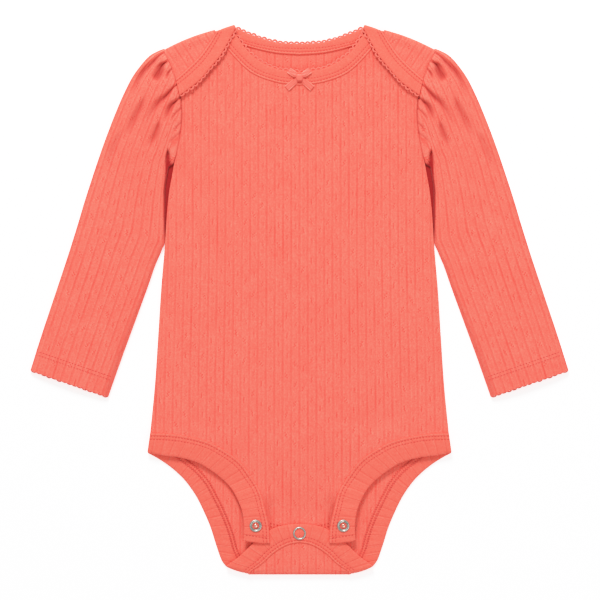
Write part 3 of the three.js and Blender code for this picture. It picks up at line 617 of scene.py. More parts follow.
def bandGrid(sewn, free, floor, lip=bandShape["lip"], cross=0.0, crossPitch=6.6):
    # Rings round a flat band from its sewn edge to its free edge, one ring for each point
    reach = free - sewn
    wide = np.linalg.norm(reach, axis=1)[:, None]
    half = bandCloth / 2
    turn = np.radians(np.linspace(-90, 90, 7))
    flatShare = np.array([0.04, 0.08, 0.12, 0.17, 0.23, 0.29, 0.35, 0.42, 0.52, 0.64, 0.78, 0.9])
    ring = [(s, -half, 0) for s in flatShare]
    ring += [(1.0, half * math.sin(t), half * math.cos(t)) for t in turn]
    ring += [(s, half, 0) for s in flatShare[::-1]]
    ring += [(0.0, half * math.sin(t), -half * math.cos(t) * 0.6) for t in turn[::-1]]
    ring = np.array(ring)
    inset = half / wide
    share = ring[None, :, 0] * (1 - 1.6 * inset) + 0.6 * inset + ring[None, :, 2] / wide
    first = -0.35 / wide
    share = first + share * (1 - first)
    plan = sewn[:, None] + reach[:, None] * share[..., None]
    base = floor(plan[..., 0], plan[..., 1])
    run = np.append(0, np.cumsum(np.linalg.norm(np.diff((sewn + free) / 2, axis=0), axis=1)))
    top = ring[None, :, 1] > half * 0.5
    away = share * wide
    # sunk along the stitches, a little raised at the lip and slightly swollen between
    stitched = sum(0.35 * np.exp(-(((away - at) / 0.5) ** 2)) for at in bandShape["rows"])
    stitched = stitched - 0.25 * np.exp(-(((away - 0.9) / 0.6) ** 2)) if lip else 0
    swell = 0.3 * np.sin(math.pi * np.clip(share, 0, 1)) ** 0.7
    ripple = cross * np.exp(-((((run + crossPitch / 2) % crossPitch - crossPitch / 2) / 0.55) ** 2))
    ripple = ripple[:, None] * np.clip(np.sin(math.pi * np.clip(share, 0, 1)), 0, 1)
    raised = 1 + lip / bandCloth
    z = base + (half + ring[None, :, 1]) * raised + top * (swell - stitched - ripple)
    farUnder = 100 * (ring[None, :, 1] < 0)  # no stitches show below
    uv = np.stack([share * wide + farUnder, np.broadcast_to(run[:, None], z.shape)], axis=-1)
    return np.concatenate([plan, z[..., None]], axis=-1), uv


def turnedUnder(points, uv, outward, reach):
    # The band's first end carried on round the cloth's fold down to the surface
    steps = bandShape["foldSteps"]
    first = points[0]
    top = first[:, 2].max()
    size = first[:, 2] - top / 2
    folded = []
    wide = np.linalg.norm(first[:, :2] - first[0, :2], axis=1)
    atSewn, atFree, power = reach
    rounded = mix(atSewn, atFree, (wide / wide.max()) ** power)
    for angle in np.radians(np.linspace(0, 180, steps + 1)[:-1]):
        ring = first.copy()
        ring[:, :2] += np.asarray(outward) * (size * rounded * math.sin(angle))[:, None]
        ring[:, 2] = top / 2 - size * math.cos(angle)
        folded.append(ring)
    back = np.linspace(-math.pi * top / 2, 0, steps, endpoint=False)
    under = np.stack([np.broadcast_to(uv[0, :, 0], (steps, len(first))),
                      np.broadcast_to(back[:, None] + uv[0, 0, 1], (steps, len(first)))], axis=-1)
    return np.concatenate([folded, points]), np.concatenate([under, uv])


def softEnd(points, uv):
    # The last ring carried on a little and flattened, for a rounded end
    last, ahead = points[-1], points[-1] - points[-2]
    ahead = ahead / np.linalg.norm(ahead, axis=1)[:, None] * [1, 1, 0]
    middle = last[:, 2].mean()
    wide = np.linalg.norm(last[:, :2] - last[0, :2], axis=1)
    beside = np.abs(wide / wide.max() * 2 - 1) ** 5
    extra = []
    for run, height in ((0.4, 0.94), (0.75, 0.8), (1.0, 0.55), (1.1, 0.25)):
        ring = last + ahead * (run - 1.4 * beside * run)[:, None]
        ring[:, 2] = middle + (last[:, 2] - middle) * height
        extra.append(ring)
    return np.concatenate([points, extra]), np.concatenate([uv, np.repeat(uv[-1:], 4, axis=0)])


def closedBand(name, points, uv):
    points = np.concatenate([points, points[:, :1]], axis=1)
    uv = np.concatenate([uv, uv[:, :1]], axis=1)
    piece = gridMesh(name, points, uv)
    weld(piece)
    closeEnds(piece)
    return smoothShaded(piece, 60)


def bandMesh(name, sewn, free, floor, **options):
    return closedBand(name, *bandGrid(sewn, free, floor, **options))


def closeEnds(piece):
    pick(piece)
    bpy.ops.object.mode_set(mode="EDIT")
    bpy.ops.mesh.select_all(action="DESELECT")
    bpy.ops.mesh.select_mode(type="EDGE")
    bpy.ops.mesh.select_non_manifold()
    bpy.ops.mesh.edge_face_add()
    bpy.ops.mesh.select_all(action="SELECT")
    bpy.ops.mesh.normals_make_consistent(inside=False)
    bpy.ops.object.mode_set(mode="OBJECT")


def floorZero(x, _):
    return np.zeros(np.shape(x))


def flapLevel(x, _):
    return np.full(np.shape(x), flapFloor)


def tabLevel(x, y):
    low = frontFloor(np.full(np.shape(x), 60.0), y)
    return mix(low, tabFloor, smooth(-146, -167, y))


frontNeckLine = bothSides(curve(frontNeckSewn, 121)), bothSides(curve(frontNeckFree, 121))
backNeckLine = bothSides(curve(backNeckSewn, 111)), bothSides(curve(backNeckFree, 111))
frontNeckBand = bandMesh("frontNeckBand", *frontNeckLine, frontFloor)
backNeckBand = bandMesh("backNeckBand", *backNeckLine, floorZero)

frontLegLine = curve(frontLegSewn, 180), curve(frontLegFree, 180)
backLegLine = curve(backLegSewn, 160), curve(backLegFree, 160)
frontLegBandRight = closedBand("frontLegBandRight",
                               *softEnd(*bandGrid(*frontLegLine, tabLevel, cross=0.3)))
backLegBandRight = bandMesh("backLegBandRight", *backLegLine, floorZero, lip=0, cross=0.22)
flapLine = bothSides(curve(flapSewn, 90)[::-1]), bothSides(curve(flapFree, 90)[::-1])
points, uv = bandGrid(*flapLine, flapLevel, cross=0.2, crossPitch=7.4)
points, uv = turnedUnder(points, uv, (-0.23, -0.973), (1, 0.35, 3))
points, uv = turnedUnder(points[::-1], uv[::-1], (0.23, -0.973), (1, 0.35, 3))
flapBand = closedBand("flapBand", points, uv)
frontLegBandLeft = mirrored(frontLegBandRight, "frontLegBandLeft")
backLegBandLeft = mirrored(backLegBandRight, "backLegBandLeft")

# Lap bands turn over the shoulder's fold with the laps
lapLine = curve(lapSewn, 130), curve(lapFree, 130)


def lapCurl(x, y):
    # The lap's band lies on the front panel and curls up a little towards its free edge
    place = np.stack([x, y], axis=-1)[..., None, :]
    fromSewn = np.linalg.norm(place - lapLine[0], axis=-1).min(axis=-1)
    return lapFloor(x, y) + 1.1 * smooth(3, 14, fromSewn) * smooth(207, 196, y)


points, uv = turnedUnder(*bandGrid(*lapLine, lapCurl), shoulderOut, (0.5, 0.98, 1))
lapBandRight = closedBand("lapBandRight", points, uv)
lapBandLeft = mirrored(lapBandRight, "lapBandLeft")
print("bands done")


# Picots: half loops of yarn along a free edge
def loopMesh(width, height, yarn):
    # One picot from a torus, only its outer half kept
    deselect()
    bpy.ops.mesh.primitive_torus_add(major_segments=12, minor_segments=6, major_radius=width / 2 * mm,
                                     minor_radius=yarn / 2 * mm)
    loop = bpy.context.object
    editAll()
    bpy.ops.mesh.bisect(plane_co=(0, -0.0002, 0), plane_no=(0, 1, 0), clear_inner=True)
    bpy.ops.mesh.select_all(action="SELECT")
    bpy.ops.transform.resize(value=(1, 2 * height / width, 1), center_override=(0, 0, 0))
    bpy.ops.object.mode_set(mode="OBJECT")
    return loop


def copies(name, source, places):
    # Joined copies of a small mesh, which then goes, each with its place and its run, side and up
    count = len(source.data.vertices)
    co = np.empty(count * 3)
    source.data.vertices.foreach_get("co", co)
    co = co.reshape(-1, 3)
    faces = [tuple(f.vertices) for f in source.data.polygons]
    verts = []
    allFaces = []
    for number, (centre, run, side, up) in enumerate(places):
        verts.append(co @ np.array([run, side, up]) + np.asarray(centre) * mm)
        allFaces += [tuple(v + number * count for v in face) for face in faces]
    mesh = bpy.data.meshes.new(name)
    mesh.from_pydata(np.concatenate(verts).tolist(), [], allFaces)
    piece = bpy.data.objects.new(name, mesh)
    bpy.context.collection.objects.link(piece)
    bpy.data.objects.remove(source)
    return smoothShaded(piece)


def unit(v):
    v = np.asarray(v, float)
    return v / np.linalg.norm(v)


def alongLine(line, pitch):
    # Points and headings at even spacing on a line in space
    run = np.append(0, np.cumsum(np.linalg.norm(np.diff(line, axis=0), axis=1)))
    number = max(int(round(run[-1] / pitch)), 1)
    at = (np.arange(number) + 0.5) * run[-1] / number
    point, ahead, behind = (np.stack([np.interp(at + off, run, axis) for axis in line.T], axis=1)
                            for off in (0, 0.5, -0.5))
    heading = ahead - behind
    return point, heading / np.linalg.norm(heading, axis=1)[:, None]


def picots(name, line, outward, pitch, height, yarn):
    # A row of loops on an edge line in space; outward tells the side they stand to
    source = loopMesh(pitch * 0.86, height, yarn)
    point, heading = alongLine(line, pitch)
    places = []
    for p, run in zip(point, heading):
        out = outward(p)
        out = unit(out - run * np.dot(out, run))
        wobble = 1 + 0.12 * random.standard_normal()
        lift = np.array([0, 0, 0.12 * random.standard_normal()])
        places.append((p + lift, run, out * wobble, np.cross(run, out)))
    return copies(name, source, places)


def edgeOf(free, floor, sign=1):
    # The free edge of a band, a little inside it
    inner = free - sides(free) * sign * 0.45
    return np.column_stack([inner, floor(inner[:, 0], inner[:, 1]) + bandCloth * 0.75])


def toSide(line, sign):
    # Heading away from a line, at the place of a picot
    normals = sides(line[:, :2]) * sign

    def outward(p):
        nearest = np.argmin(np.linalg.norm(line[:, :2] - p[:2], axis=1))
        return np.append(normals[nearest], 0.0)
    return outward


picotShape = {"pitch": 4.3, "height": 1.85, "yarn": 1.35}
frontEdge = edgeOf(frontNeckLine[1], frontFloor)
backEdge = edgeOf(backNeckLine[1], floorZero)
frontPicots = picots("frontNeckPicots", frontEdge, toSide(frontEdge, 1), **picotShape)
backPicots = picots("backNeckPicots", backEdge, toSide(backEdge, 1), **picotShape)
lapEdge = edgeOf(lapLine[1], lapCurl, -1)
lapPicotsRight = picots("lapPicotsRight", lapEdge, toSide(lapEdge, -1), **picotShape)
lapPicotsLeft = mirrored(lapPicotsRight, "lapPicotsLeft")

# Cuff picots stand off the sleeve's end, on both layers' fold
cuffShape = {"pitch": 4.2, "height": 1.15, "yarn": 1.3}
cuffLine = placed(np.full(60, 0.55), np.linspace(-31.6, 31.3, 60))
cuffEdge = np.column_stack([cuffLine, np.full(60, 2.4)])


def offCuff(_):
    return np.append(-sleeveAlong, 0.0)


cuffPicotsRight = picots("cuffPicotsRight", cuffEdge, offCuff, **cuffShape)
cuffPicotsLeft = mirrored(cuffPicotsRight, "cuffPicotsLeft")


# Stitches: short sunk threads along seam lines
stitch = {"pitch": 2.4, "shape": (1.6, 0.8, 0.5)}


def ballMesh(radius, shape, **rings):
    # A ball squeezed to a shape
    deselect()
    bpy.ops.mesh.primitive_uv_sphere_add(radius=radius * mm, **rings)
    ball = bpy.context.object
    editAll()
    bpy.ops.transform.resize(value=shape, center_override=(0, 0, 0))
    bpy.ops.object.mode_set(mode="OBJECT")
    return ball


def stitchMesh():
    return ballMesh(0.5, stitch["shape"], segments=8, ring_count=6)


def stitches(name, lines):
    places = []
    for line in lines:
        point, heading = alongLine(line, stitch["pitch"])
        for p, run in zip(point, heading):
            side = unit(np.cross([0, 0, 1], run))
            places.append((p, run * (1 + 0.1 * random.standard_normal()), side, np.cross(run, side)))
    return copies(name, stitchMesh(), places)


def besideLine(sewn, free, distance, height, floor):
    # Line in space at a distance from the sewn edge towards the free edge
    reach = free - sewn
    wide = np.linalg.norm(reach, axis=1)[:, None]
    plan = sewn + reach / wide * distance
    return np.column_stack([plan, floor(plan[:, 0], plan[:, 1]) + height])


bandTop = bandCloth + bandShape["lip"] + 0.1


def bandRows(line, floor):
    return [besideLine(*line, at, bandTop, floor) for at in bandShape["rows"]]


neckStitches = stitches("neckStitches", [*bandRows(frontNeckLine, frontFloor),
                                         *bandRows(backNeckLine, floorZero)])
flapStitches = stitches("flapStitches", bandRows(flapLine, flapLevel))
lapStitchesRight = stitches("lapStitchesRight", bandRows(lapLine, lapCurl))
legStitchesRight = stitches("frontLegStitchesRight", bandRows(frontLegLine, tabLevel))
lapStitchesLeft = mirrored(lapStitchesRight, "lapStitchesLeft")
legStitchesLeft = mirrored(legStitchesRight, "frontLegStitchesLeft")


def sleeveTop(alongAt):
    # Line across the sleeve's upper face
    return np.array([[np.interp(alongAt, along[:, c], values[:, c]) for values in upperFace]
                     for c in range(3, sleeve["upper"] - 2)])


# tab hems: one row across each tab, and what shows of the front's hem beside the crotch flap
tabHem = np.array([(25.0, -185.2), (34, -184.2), (42.4, -182.6)])
tabHem = np.column_stack([curve(tabHem, 30), np.full(30, tabFloor + bandTop + 0.2)])
frontHem = np.array([(23.5, -173.6), (19, -175.0), (13.5, -175.9)])
frontHem = [np.column_stack([curve(frontHem - [0, d], 20), np.full(20, 3.35)]) for d in (0, 2.4)]
tabStitchesRight = stitches("tabStitchesRight", [tabHem, *frontHem])
tabStitchesLeft = mirrored(tabStitchesRight, "tabStitchesLeft")


# overlocked seam of the back leg openings: slanted threads to and fro over the seam
overlock = {"pitch": 1.9, "wide": 0.6, "high": 0.9}


def zigzag(name, sewn, free, inner, outer, height):
    # Threads from the inner line to the outer line and back
    pitch = overlock["pitch"]
    start, _ = alongLine(besideLine(sewn, free, inner, height, floorZero), pitch)
    end, _ = alongLine(besideLine(sewn, free, outer, height, floorZero), pitch)
    places = []
    for k in range(min(len(start), len(end)) - 1):
        for a, b in ((start[k], end[k]), (end[k], start[k + 1])):
            run = b - a
            side = unit(np.cross([0, 0, 1], run))
            places.append(((a + b) / 2, run / 1.9, side * overlock["wide"], [0, 0, overlock["high"]]))
    return copies(name, stitchMesh(), places)


overlockRight = joined("overlockRight", [
    zigzag("overlockInner", *backLegLine, -0.8, 1.4, bandCloth + 0.2),
    zigzag("overlockOuter", *backLegLine, 1.8, 4.2, bandCloth + 0.35)])
overlockLeft = mirrored(overlockRight, "overlockLeft")
hemRows = [sleeveTop(at) + [0, 0, 0.02] for at in sleeve["stitches"]]
hemStitchesRight = stitches("hemStitchesRight", hemRows)
hemStitchesLeft = mirrored(hemStitchesRight, "hemStitchesLeft")
print("stitches and picots done")


# Snaps: the middle one is fastened and shows its ring, the two on the tabs are open studs
snaps = {"ring": (0, -181.9), "stud": (34.1, -175.9), "lift": 0.15}


def latheMesh(name, profile, segments=48):
    # Profile of (radius, height) in mm turned about the vertical by spin
    deselect()
    bpy.ops.mesh.primitive_plane_add(size=1)
    piece = bpy.context.object
    piece.name = piece.data.name = name
    mesh = bpy.data.meshes.new(name)
    mesh.from_pydata([(r * mm, 0, z * mm) for r, z in profile],
                     [(i, i + 1) for i in range(len(profile) - 1)], [])
    piece.data = mesh
    editAll()
    bpy.ops.mesh.spin(steps=segments, angle=math.tau, center=(0, 0, 0), axis=(0, 0, 1))
    bpy.ops.mesh.select_all(action="SELECT")
    bpy.ops.mesh.remove_doubles(threshold=0.00001)
    bpy.ops.mesh.normals_make_consistent(inside=False)
    bpy.ops.object.mode_set(mode="OBJECT")
    return piece


def moved(piece, x, y, z):
    piece.data.transform(Matrix.Translation((x * mm, y * mm, z * mm)))
    return piece


ringHeight = flapFloor + bandCloth + bandShape["lip"] + snaps["lift"]
ringProfile = [(5.15, 0), (5.2, 0.25), (5.1, 0.55), (4.85, 0.78), (4.5, 0.88), (4.15, 0.84),
               (3.85, 0.66), (3.65, 0.4), (3.55, 0.1), (3.55, 0), (5.15, 0)]
snapRing = moved(latheMesh("snapRing", ringProfile), *snaps["ring"], ringHeight)
studProfile = [(4.6, 0), (4.8, 0.2), (4.85, 0.5), (4.72, 0.82), (4.4, 1.05), (4.0, 1.12),
               (3.65, 0.98), (3.42, 0.72), (3.25, 0.9), (3.0, 0.96), (2.78, 0.86), (2.62, 0.5),
               (2.55, 0.1), (2.6, 0), (4.6, 0)]
postProfile = [(0, 0), (1.5, 0), (1.45, 0.3), (1.25, 0.5), (1.45, 0.8), (1.55, 1.05), (1.4, 1.35),
               (0.95, 1.55), (0.45, 1.62), (0, 1.64)]
studHeight = tabFloor + bandCloth + bandShape["lip"] + snaps["lift"]
snapStudRight = moved(latheMesh("snapStudRight", studProfile), *snaps["stud"], studHeight)
snapStudLeft = mirrored(snapStudRight, "snapStudLeft")
studPostRight = moved(latheMesh("studPostRight", postProfile, 32), *snaps["stud"], studHeight)
studPostLeft = mirrored(studPostRight, "studPostLeft")
for piece in (snapStudRight, snapStudLeft, studPostRight, studPostLeft, snapRing):
    smoothShaded(piece, 60)

# Bow of satin ribbon on the front neck band
bow = {"up": 173.0, "thick": 0.3, "across": 12, "steps": 44, "knot": (2.7, 2.7, 1.5)}
bowFloor = float(frontFloor(np.array(0.0), np.array(bow["up"]))) + bandTop


def ribbonMesh(name, rows, degrees):
    # Ribbon along a path of (away from the knot, height, width, cupping), heading by degrees
    rows = np.array(rows, float)
    dense = curve(rows[:, :2], bow["steps"])
    share = np.linspace(0, 1, bow["steps"])
    keyShare = np.append(0, np.cumsum(np.linalg.norm(np.diff(rows[:, :2], axis=0), axis=1)))
    keyShare /= keyShare[-1]
    wide = np.interp(share, keyShare, rows[:, 2])
    cup = np.interp(share, keyShare, rows[:, 3])
    turn = math.radians(degrees)
    run = np.array([math.cos(turn), math.sin(turn)])
    side = np.array([-run[1], run[0]])
    t = np.linspace(-1, 1, bow["across"] + 1)
    out = wide[:, None] / 2 * t
    plan = np.array([0, bow["up"]]) + dense[:, None, :1] * run + out[..., None] * side
    rise = dense[:, 1:2] + cup[:, None] * (1 - t**2) + 0.08 * np.sin(6 * t + dense[:, :1] * 0.8)
    points = np.concatenate([plan, (bowFloor + rise)[..., None]], axis=-1)
    uv = np.stack([out, np.broadcast_to(share[:, None] * 25, out.shape)], axis=-1)
    piece = gridMesh(name, points, uv)
    thicken(piece, bow["thick"], 0)
    return smoothShaded(piece, 50)


bowLoopRight = ribbonMesh("bowLoopRight", [
    (1.2, 0.6, 2.4, 0.5), (3.4, 0.4, 3.8, 0.35), (6.4, 0.3, 4.7, 0.1), (9.5, 0.35, 4.8, 0),
    (9.95, 0.7, 4.8, 0), (9.4, 1.05, 4.8, 0), (6.0, 1.4, 4.7, 0.15), (3.2, 1.55, 3.8, 0.45),
    (1.2, 1.3, 2.4, 0.5)], 34)
bowTailRight = ribbonMesh("bowTailRight", [
    (1.0, 1.0, 2.4, 0.5), (3.2, 0.75, 3.4, 0.4), (6.4, 0.4, 4.4, 0.2), (9.6, 0.35, 4.8, 0.05),
    (13.0, 0.35, 5.0, 0.0)], -40)
bowLoopLeft = mirrored(bowLoopRight, "bowLoopLeft")
bowTailLeft = mirrored(bowTailRight, "bowTailLeft")
bowKnot = ballMesh(1, bow["knot"], segments=32, ring_count=20)
bowKnot.name = bowKnot.data.name = "bowKnot"
# a wrapped band of ribbon is nearly square, with creases that run up it
for v in bowKnot.data.vertices:
    squarer = [math.copysign(half * (abs(c) / mm / half) ** 0.62, c)
               for c, half in zip(v.co, bow["knot"])]
    crease = 0.12 * math.cos(squarer[0] * 3.6 + 0.35 * squarer[1])
    v.co = Vector((squarer[0], squarer[1], squarer[2] + (crease if squarer[2] > 0 else 0))) * mm
moved(bowKnot, 0, bow["up"], bowFloor + 1.35)
smoothShaded(bowKnot)
print("snaps and bow done")


# Materials
class Value:
    # A shader socket that does sums: each operator adds its Math node
    def __init__(self, tree, socket):
        self.tree, self.socket = tree, socket

    def maths(self, operation, *others, swapped=False):
        node = self.tree.nodes.new("ShaderNodeMath")
        node.operation = operation
        for place, term in zip(node.inputs, [*others, self] if swapped else [self, *others]):
            feed(self.tree, place, term)
        return Value(self.tree, node.outputs[0])

    __add__ = __radd__ = partialmethod(maths, "ADD")
    __sub__ = partialmethod(maths, "SUBTRACT")
    __rsub__ = partialmethod(maths, "SUBTRACT", swapped=True)
    __mul__ = __rmul__ = partialmethod(maths, "MULTIPLY")
    __truediv__ = partialmethod(maths, "DIVIDE")
    __rtruediv__ = partialmethod(maths, "DIVIDE", swapped=True)
    __pow__ = partialmethod(maths, "POWER")
    __neg__ = partialmethod(maths, "MULTIPLY", -1.0)
    floor = partialmethod(maths, "FLOOR")
    fraction = partialmethod(maths, "FRACT")
    least = partialmethod(maths, "MINIMUM")
    most = partialmethod(maths, "MAXIMUM")
    wave = partialmethod(maths, "SINE")

    def share(self):
        return self.most(0.0).least(1.0)

    def bell(self, width):
        return (-((self / width) ** 2)).maths("EXPONENT")


def feed(tree, place, value):
    # A socket's link or its plain value
    if isinstance(value, Value):
        tree.links.new(value.socket, place)
    else:
        place.default_value = value


class Finish:
    # A material under construction
    def __init__(self, name, **constants):
        self.material = bpy.data.materials.new(name)
        self.material.use_nodes = True
        self.tree = self.material.node_tree
        self.shader = self.tree.nodes["Principled BSDF"]
        for key, value in constants.items():
            self.shader.inputs[key.replace("_", " ")].default_value = value

    def node(self, kind, settings=None, **sockets):
        node = self.tree.nodes.new("ShaderNode" + kind)
        for key, value in (settings or {}).items():
            setattr(node, key, value)
        for key, value in sockets.items():
            feed(self.tree, node.inputs[key.replace("_", " ")], value)
        return node

    def out(self, node, name):
        return Value(self.tree, node.outputs[name])

    def cutPlace(self):
        # Place on the cut cloth in mm, across and along
        uv = self.node("UVMap", {"uv_map": "cut"})
        parts = self.node("SeparateXYZ", Vector=self.out(uv, "UV"))
        return self.out(parts, "X") / mm, self.out(parts, "Y") / mm

    def vector(self, x, y, z=0.0):
        return self.out(self.node("CombineXYZ", X=x, Y=y, Z=z), "Vector")

    def noise(self, scale, detail, vector=None):
        vector = vector or self.out(self.node("TexCoord"), "Object")
        return self.out(self.node("TexNoise", Vector=vector, Scale=scale, Detail=detail), "Fac")

    def blend(self, share, a, b):
        made = self.tree.nodes.new("ShaderNodeMix")
        made.data_type = "RGBA"
        for place, value in ((made.inputs[0], share), (made.inputs[6], a), (made.inputs[7], b)):
            feed(self.tree, place, value)
        return Value(self.tree, made.outputs[2])

    def bump(self, height, distance, strength):
        made = self.node("Bump", Height=height, Distance=distance, Strength=strength)
        self.tree.links.new(made.outputs["Normal"], self.shader.inputs["Normal"])

    def colour(self, value):
        self.tree.links.new(value.socket, self.shader.inputs["Base Color"])

    def roughness(self, value):
        self.tree.links.new(value.socket, self.shader.inputs["Roughness"])


colours = {"knit": (0.93, 0.149, 0.108, 1), "band": (0.91, 0.14, 0.098, 1),
           "deep": (0.9, 0.082, 0.06, 1), "light": (0.94, 0.24, 0.178, 1),
           "shadow": (0.33, 0.012, 0.013, 1), "thread": (0.7, 0.062, 0.045, 1),
           "picot": (0.92, 0.15, 0.105, 1), "satin": (0.95, 0.165, 0.12, 1),
           "satinDeep": (0.9, 0.11, 0.08, 1), "satinLine": (0.84, 0.07, 0.05, 1),
           "edgeHighlight": (0.97, 0.27, 0.2, 1), "nickel": (0.56, 0.55, 0.5, 1),
           "tarnish": (0.3, 0.29, 0.26, 1), "postReflection": (0.86, 0.46, 0.38, 1)}

# Eyelets of the pointelle: four holes in a zigzag at each place, some places stronger, each with
# painted shade in the hole and a painted highlight beside it
eyelet = {"apart": 15.4, "hole": 0.42, "dark": 1.7, "light": 1.0,
          "zigzag": ((-1.1, -1.5), (0.5, -0.4), (-0.6, 0.6), (1.0, 1.8))}


def knitFinish(name):
    finish = Finish(name, Roughness=0.9, Sheen_Weight=0.25, Sheen_Roughness=0.5,
                    Sheen_Tint=(1, 0.72, 0.66, 1), Specular_IOR_Level=0.2)
    across, along = finish.cutPlace()
    pitch, apart = rib["pitch"], eyelet["apart"]
    fine = finish.noise(1500, 3)
    blotch = finish.noise(900, 3)
    wide = finish.noise(70, 2)
    wales = finish.noise(1.0, 3, finish.vector(across * 0.9, along * 0.16))
    paintedShading = finish.out(finish.node("Attribute", {"attribute_name": "paintedShading"}), "Fac")
    # painted shade in each rib's groove and a painted highlight on the raised lines beside it; mottled
    # is the knit's own random tone
    inRib = ((across / pitch + 0.5).fraction() - 0.5) * pitch
    groove = inRib.bell(0.65)
    ridge = (inRib - 1.35).bell(0.5) + (inRib + 1.5).bell(0.5) * 0.6
    mottled = (blotch - 0.5) * 1.7 + (fine - 0.5) * 1.1 + (wide - 0.5) * 0.5 + (wales - 0.5) * 0.7
    faded = finish.noise(1.0, 1, finish.vector(across * 0.37, along * 0.03, 4.0))
    shade = groove * (faded * 1.7 - 0.5).most(0.0) - ridge * 0.2 + mottled
    # each rib has its own start, and each place on it a chance that turns and fades its holes
    column = (across / pitch).floor()
    start = ((column * 78.233).wave() * 437.585).fraction()
    staggered = along / apart + column * 0.5 + start * 0.35
    chance = (((staggered.floor() + column * 7.31) * 12.9898).wave() * 43758.55).fraction()
    inCell = (staggered.fraction() - 0.5) * apart
    middle = ((across / pitch).fraction() - 0.5) * pitch + (chance - 0.5) * 1.4
    turned = (chance * 7.3).fraction() * 2.0 - 1.0
    # painted shade in each hole and a painted highlight at its lit side
    holes, lights = [], []
    for dx, dy in eyelet["zigzag"]:
        off = middle - turned * dx
        holes.append(off.bell(eyelet["hole"]) * (inCell - dy).bell(eyelet["hole"]))
        lights.append((off - 0.9).bell(0.36) * (inCell - dy + 0.2).bell(0.36))
    holes = sum(holes[1:], holes[0])
    lights = sum(lights[1:], lights[0])
    shade = shade + (holes * eyelet["dark"] - lights * eyelet["light"]) * (0.2 + 0.8 * chance)
    base = finish.blend(shade.share(), colours["knit"], colours["deep"])
    # lighter where the tone and the painted shading fall below zero (painted highlight), then painted
    # shade towards the shadow colour
    base = finish.blend((-shade - paintedShading.least(0.0) * 0.8).share(), base, colours["light"])
    finish.colour(finish.blend((paintedShading * 0.62).share(), base, colours["shadow"]))
    finish.bump(fine * 0.22 + blotch * 0.2 - groove * 0.35 + ridge * 0.12 - holes * 0.5, 0.0006, 0.7)
    return finish.material


# Plain knit of the bands: crossed is how strongly lines run across a band, with painted shade in their
# dips and a painted highlight on their rises, and lip how strongly its sewn edge and its rows of
# stitches show, as a painted highlight on the raised lip, painted shade at the seam beside it and along
# the sunk rows
crossing = {"apart": 7.6, "wander": 5.0}


def bandFinish(name, crossed, lip):
    finish = Finish(name, Roughness=0.88, Sheen_Weight=0.2, Sheen_Roughness=0.5,
                    Sheen_Tint=(1, 0.7, 0.64, 1), Specular_IOR_Level=0.2)
    across, along = finish.cutPlace()
    fine = finish.noise(1500, 3)
    blotch = finish.noise(800, 3)
    stretched = finish.vector(across * 0.0001, along * 0.001)
    slub = finish.noise(900, 2, stretched)
    wander = (finish.noise(160, 1, stretched) - 0.5) * crossing["wander"]
    line = (((along + wander) / crossing["apart"]).fraction() - 0.5) * crossing["apart"]
    dip = line.bell(0.4) * crossed
    rise = (line - 0.9).bell(0.4) * crossed
    nearRow, farRow = ((across - at).bell(0.4) for at in bandShape["rows"])
    # painted shade in the dips of the lines across and a painted highlight on the rise beside each,
    # over the random tone
    mottled = (blotch - 0.5) * 1.1 + (fine - 0.5) * 0.7 + (slub - 0.5) * 0.6 + dip * 0.3 - rise * 0.22
    # painted highlight on the raised lip, painted shade at the seam beside it and along the sunk rows
    # of stitches
    mottled = mottled - (across - 0.9).bell(0.6) * lip + across.bell(0.3) * lip * 1.6 \
        + (nearRow + farRow) * lip * 0.7
    base = finish.blend(mottled.share(), colours["band"], colours["deep"])
    finish.colour(finish.blend((-mottled).share(), base, colours["light"]))
    finish.bump(fine * 0.2 + blotch * 0.2 + slub * 0.35 - dip * 0.4 + rise * 0.2, 0.0006, 0.7)
    return finish.material


knit = knitFinish("knit")
band = bandFinish("band", 0.0, 0.4)
legBand = bandFinish("legBand", 1.0, 0.25)
backBand = bandFinish("backBand", 1.0, 0.0)
thread = Finish("thread", Base_Color=colours["thread"], Roughness=0.75, Sheen_Weight=0.2).material
yarn = Finish("picotYarn", Base_Color=colours["picot"], Roughness=0.85, Sheen_Weight=0.3).material

# Satin with a painted highlight along each edge and a darker line beside it
satinFinish = Finish("satin", Roughness=0.42, Specular_IOR_Level=0.35, Sheen_Weight=0.15)
acrossRibbon, _ = satinFinish.cutPlace()
weave = (acrossRibbon * 9.0).wave() * 0.5 + 0.5
edgeHighlight = (acrossRibbon - 2.15).bell(0.4) + (acrossRibbon + 2.15).bell(0.4)
besideIt = (acrossRibbon - 1.4).bell(0.35) + (acrossRibbon + 1.4).bell(0.35)
satinBase = colours["satin"]
for share, colour in ((satinFinish.noise(900, 2) * 0.5, "satinDeep"),
                      ((besideIt * 0.6).least(1.0), "satinLine"),
                      ((edgeHighlight * 0.8).least(1.0), "edgeHighlight")):
    satinBase = satinFinish.blend(share, satinBase, colours[colour])
satinFinish.colour(satinBase)
satinFinish.bump(weave, 0.0002, 0.3)
satin = satinFinish.material

nickel = Finish("nickel", Metallic=1.0)
tarnish = nickel.noise(700, 4)
nickel.colour(nickel.blend(tarnish, colours["tarnish"], colours["nickel"]))
nickel.roughness(0.22 + tarnish * 0.25)
metal = nickel.material
# the posts' coral tint is a painted reflection of the cloth around them
postMetal = Finish("postMetal", Base_Color=colours["postReflection"], Metallic=1.0, Roughness=0.22).material
print("materials done")

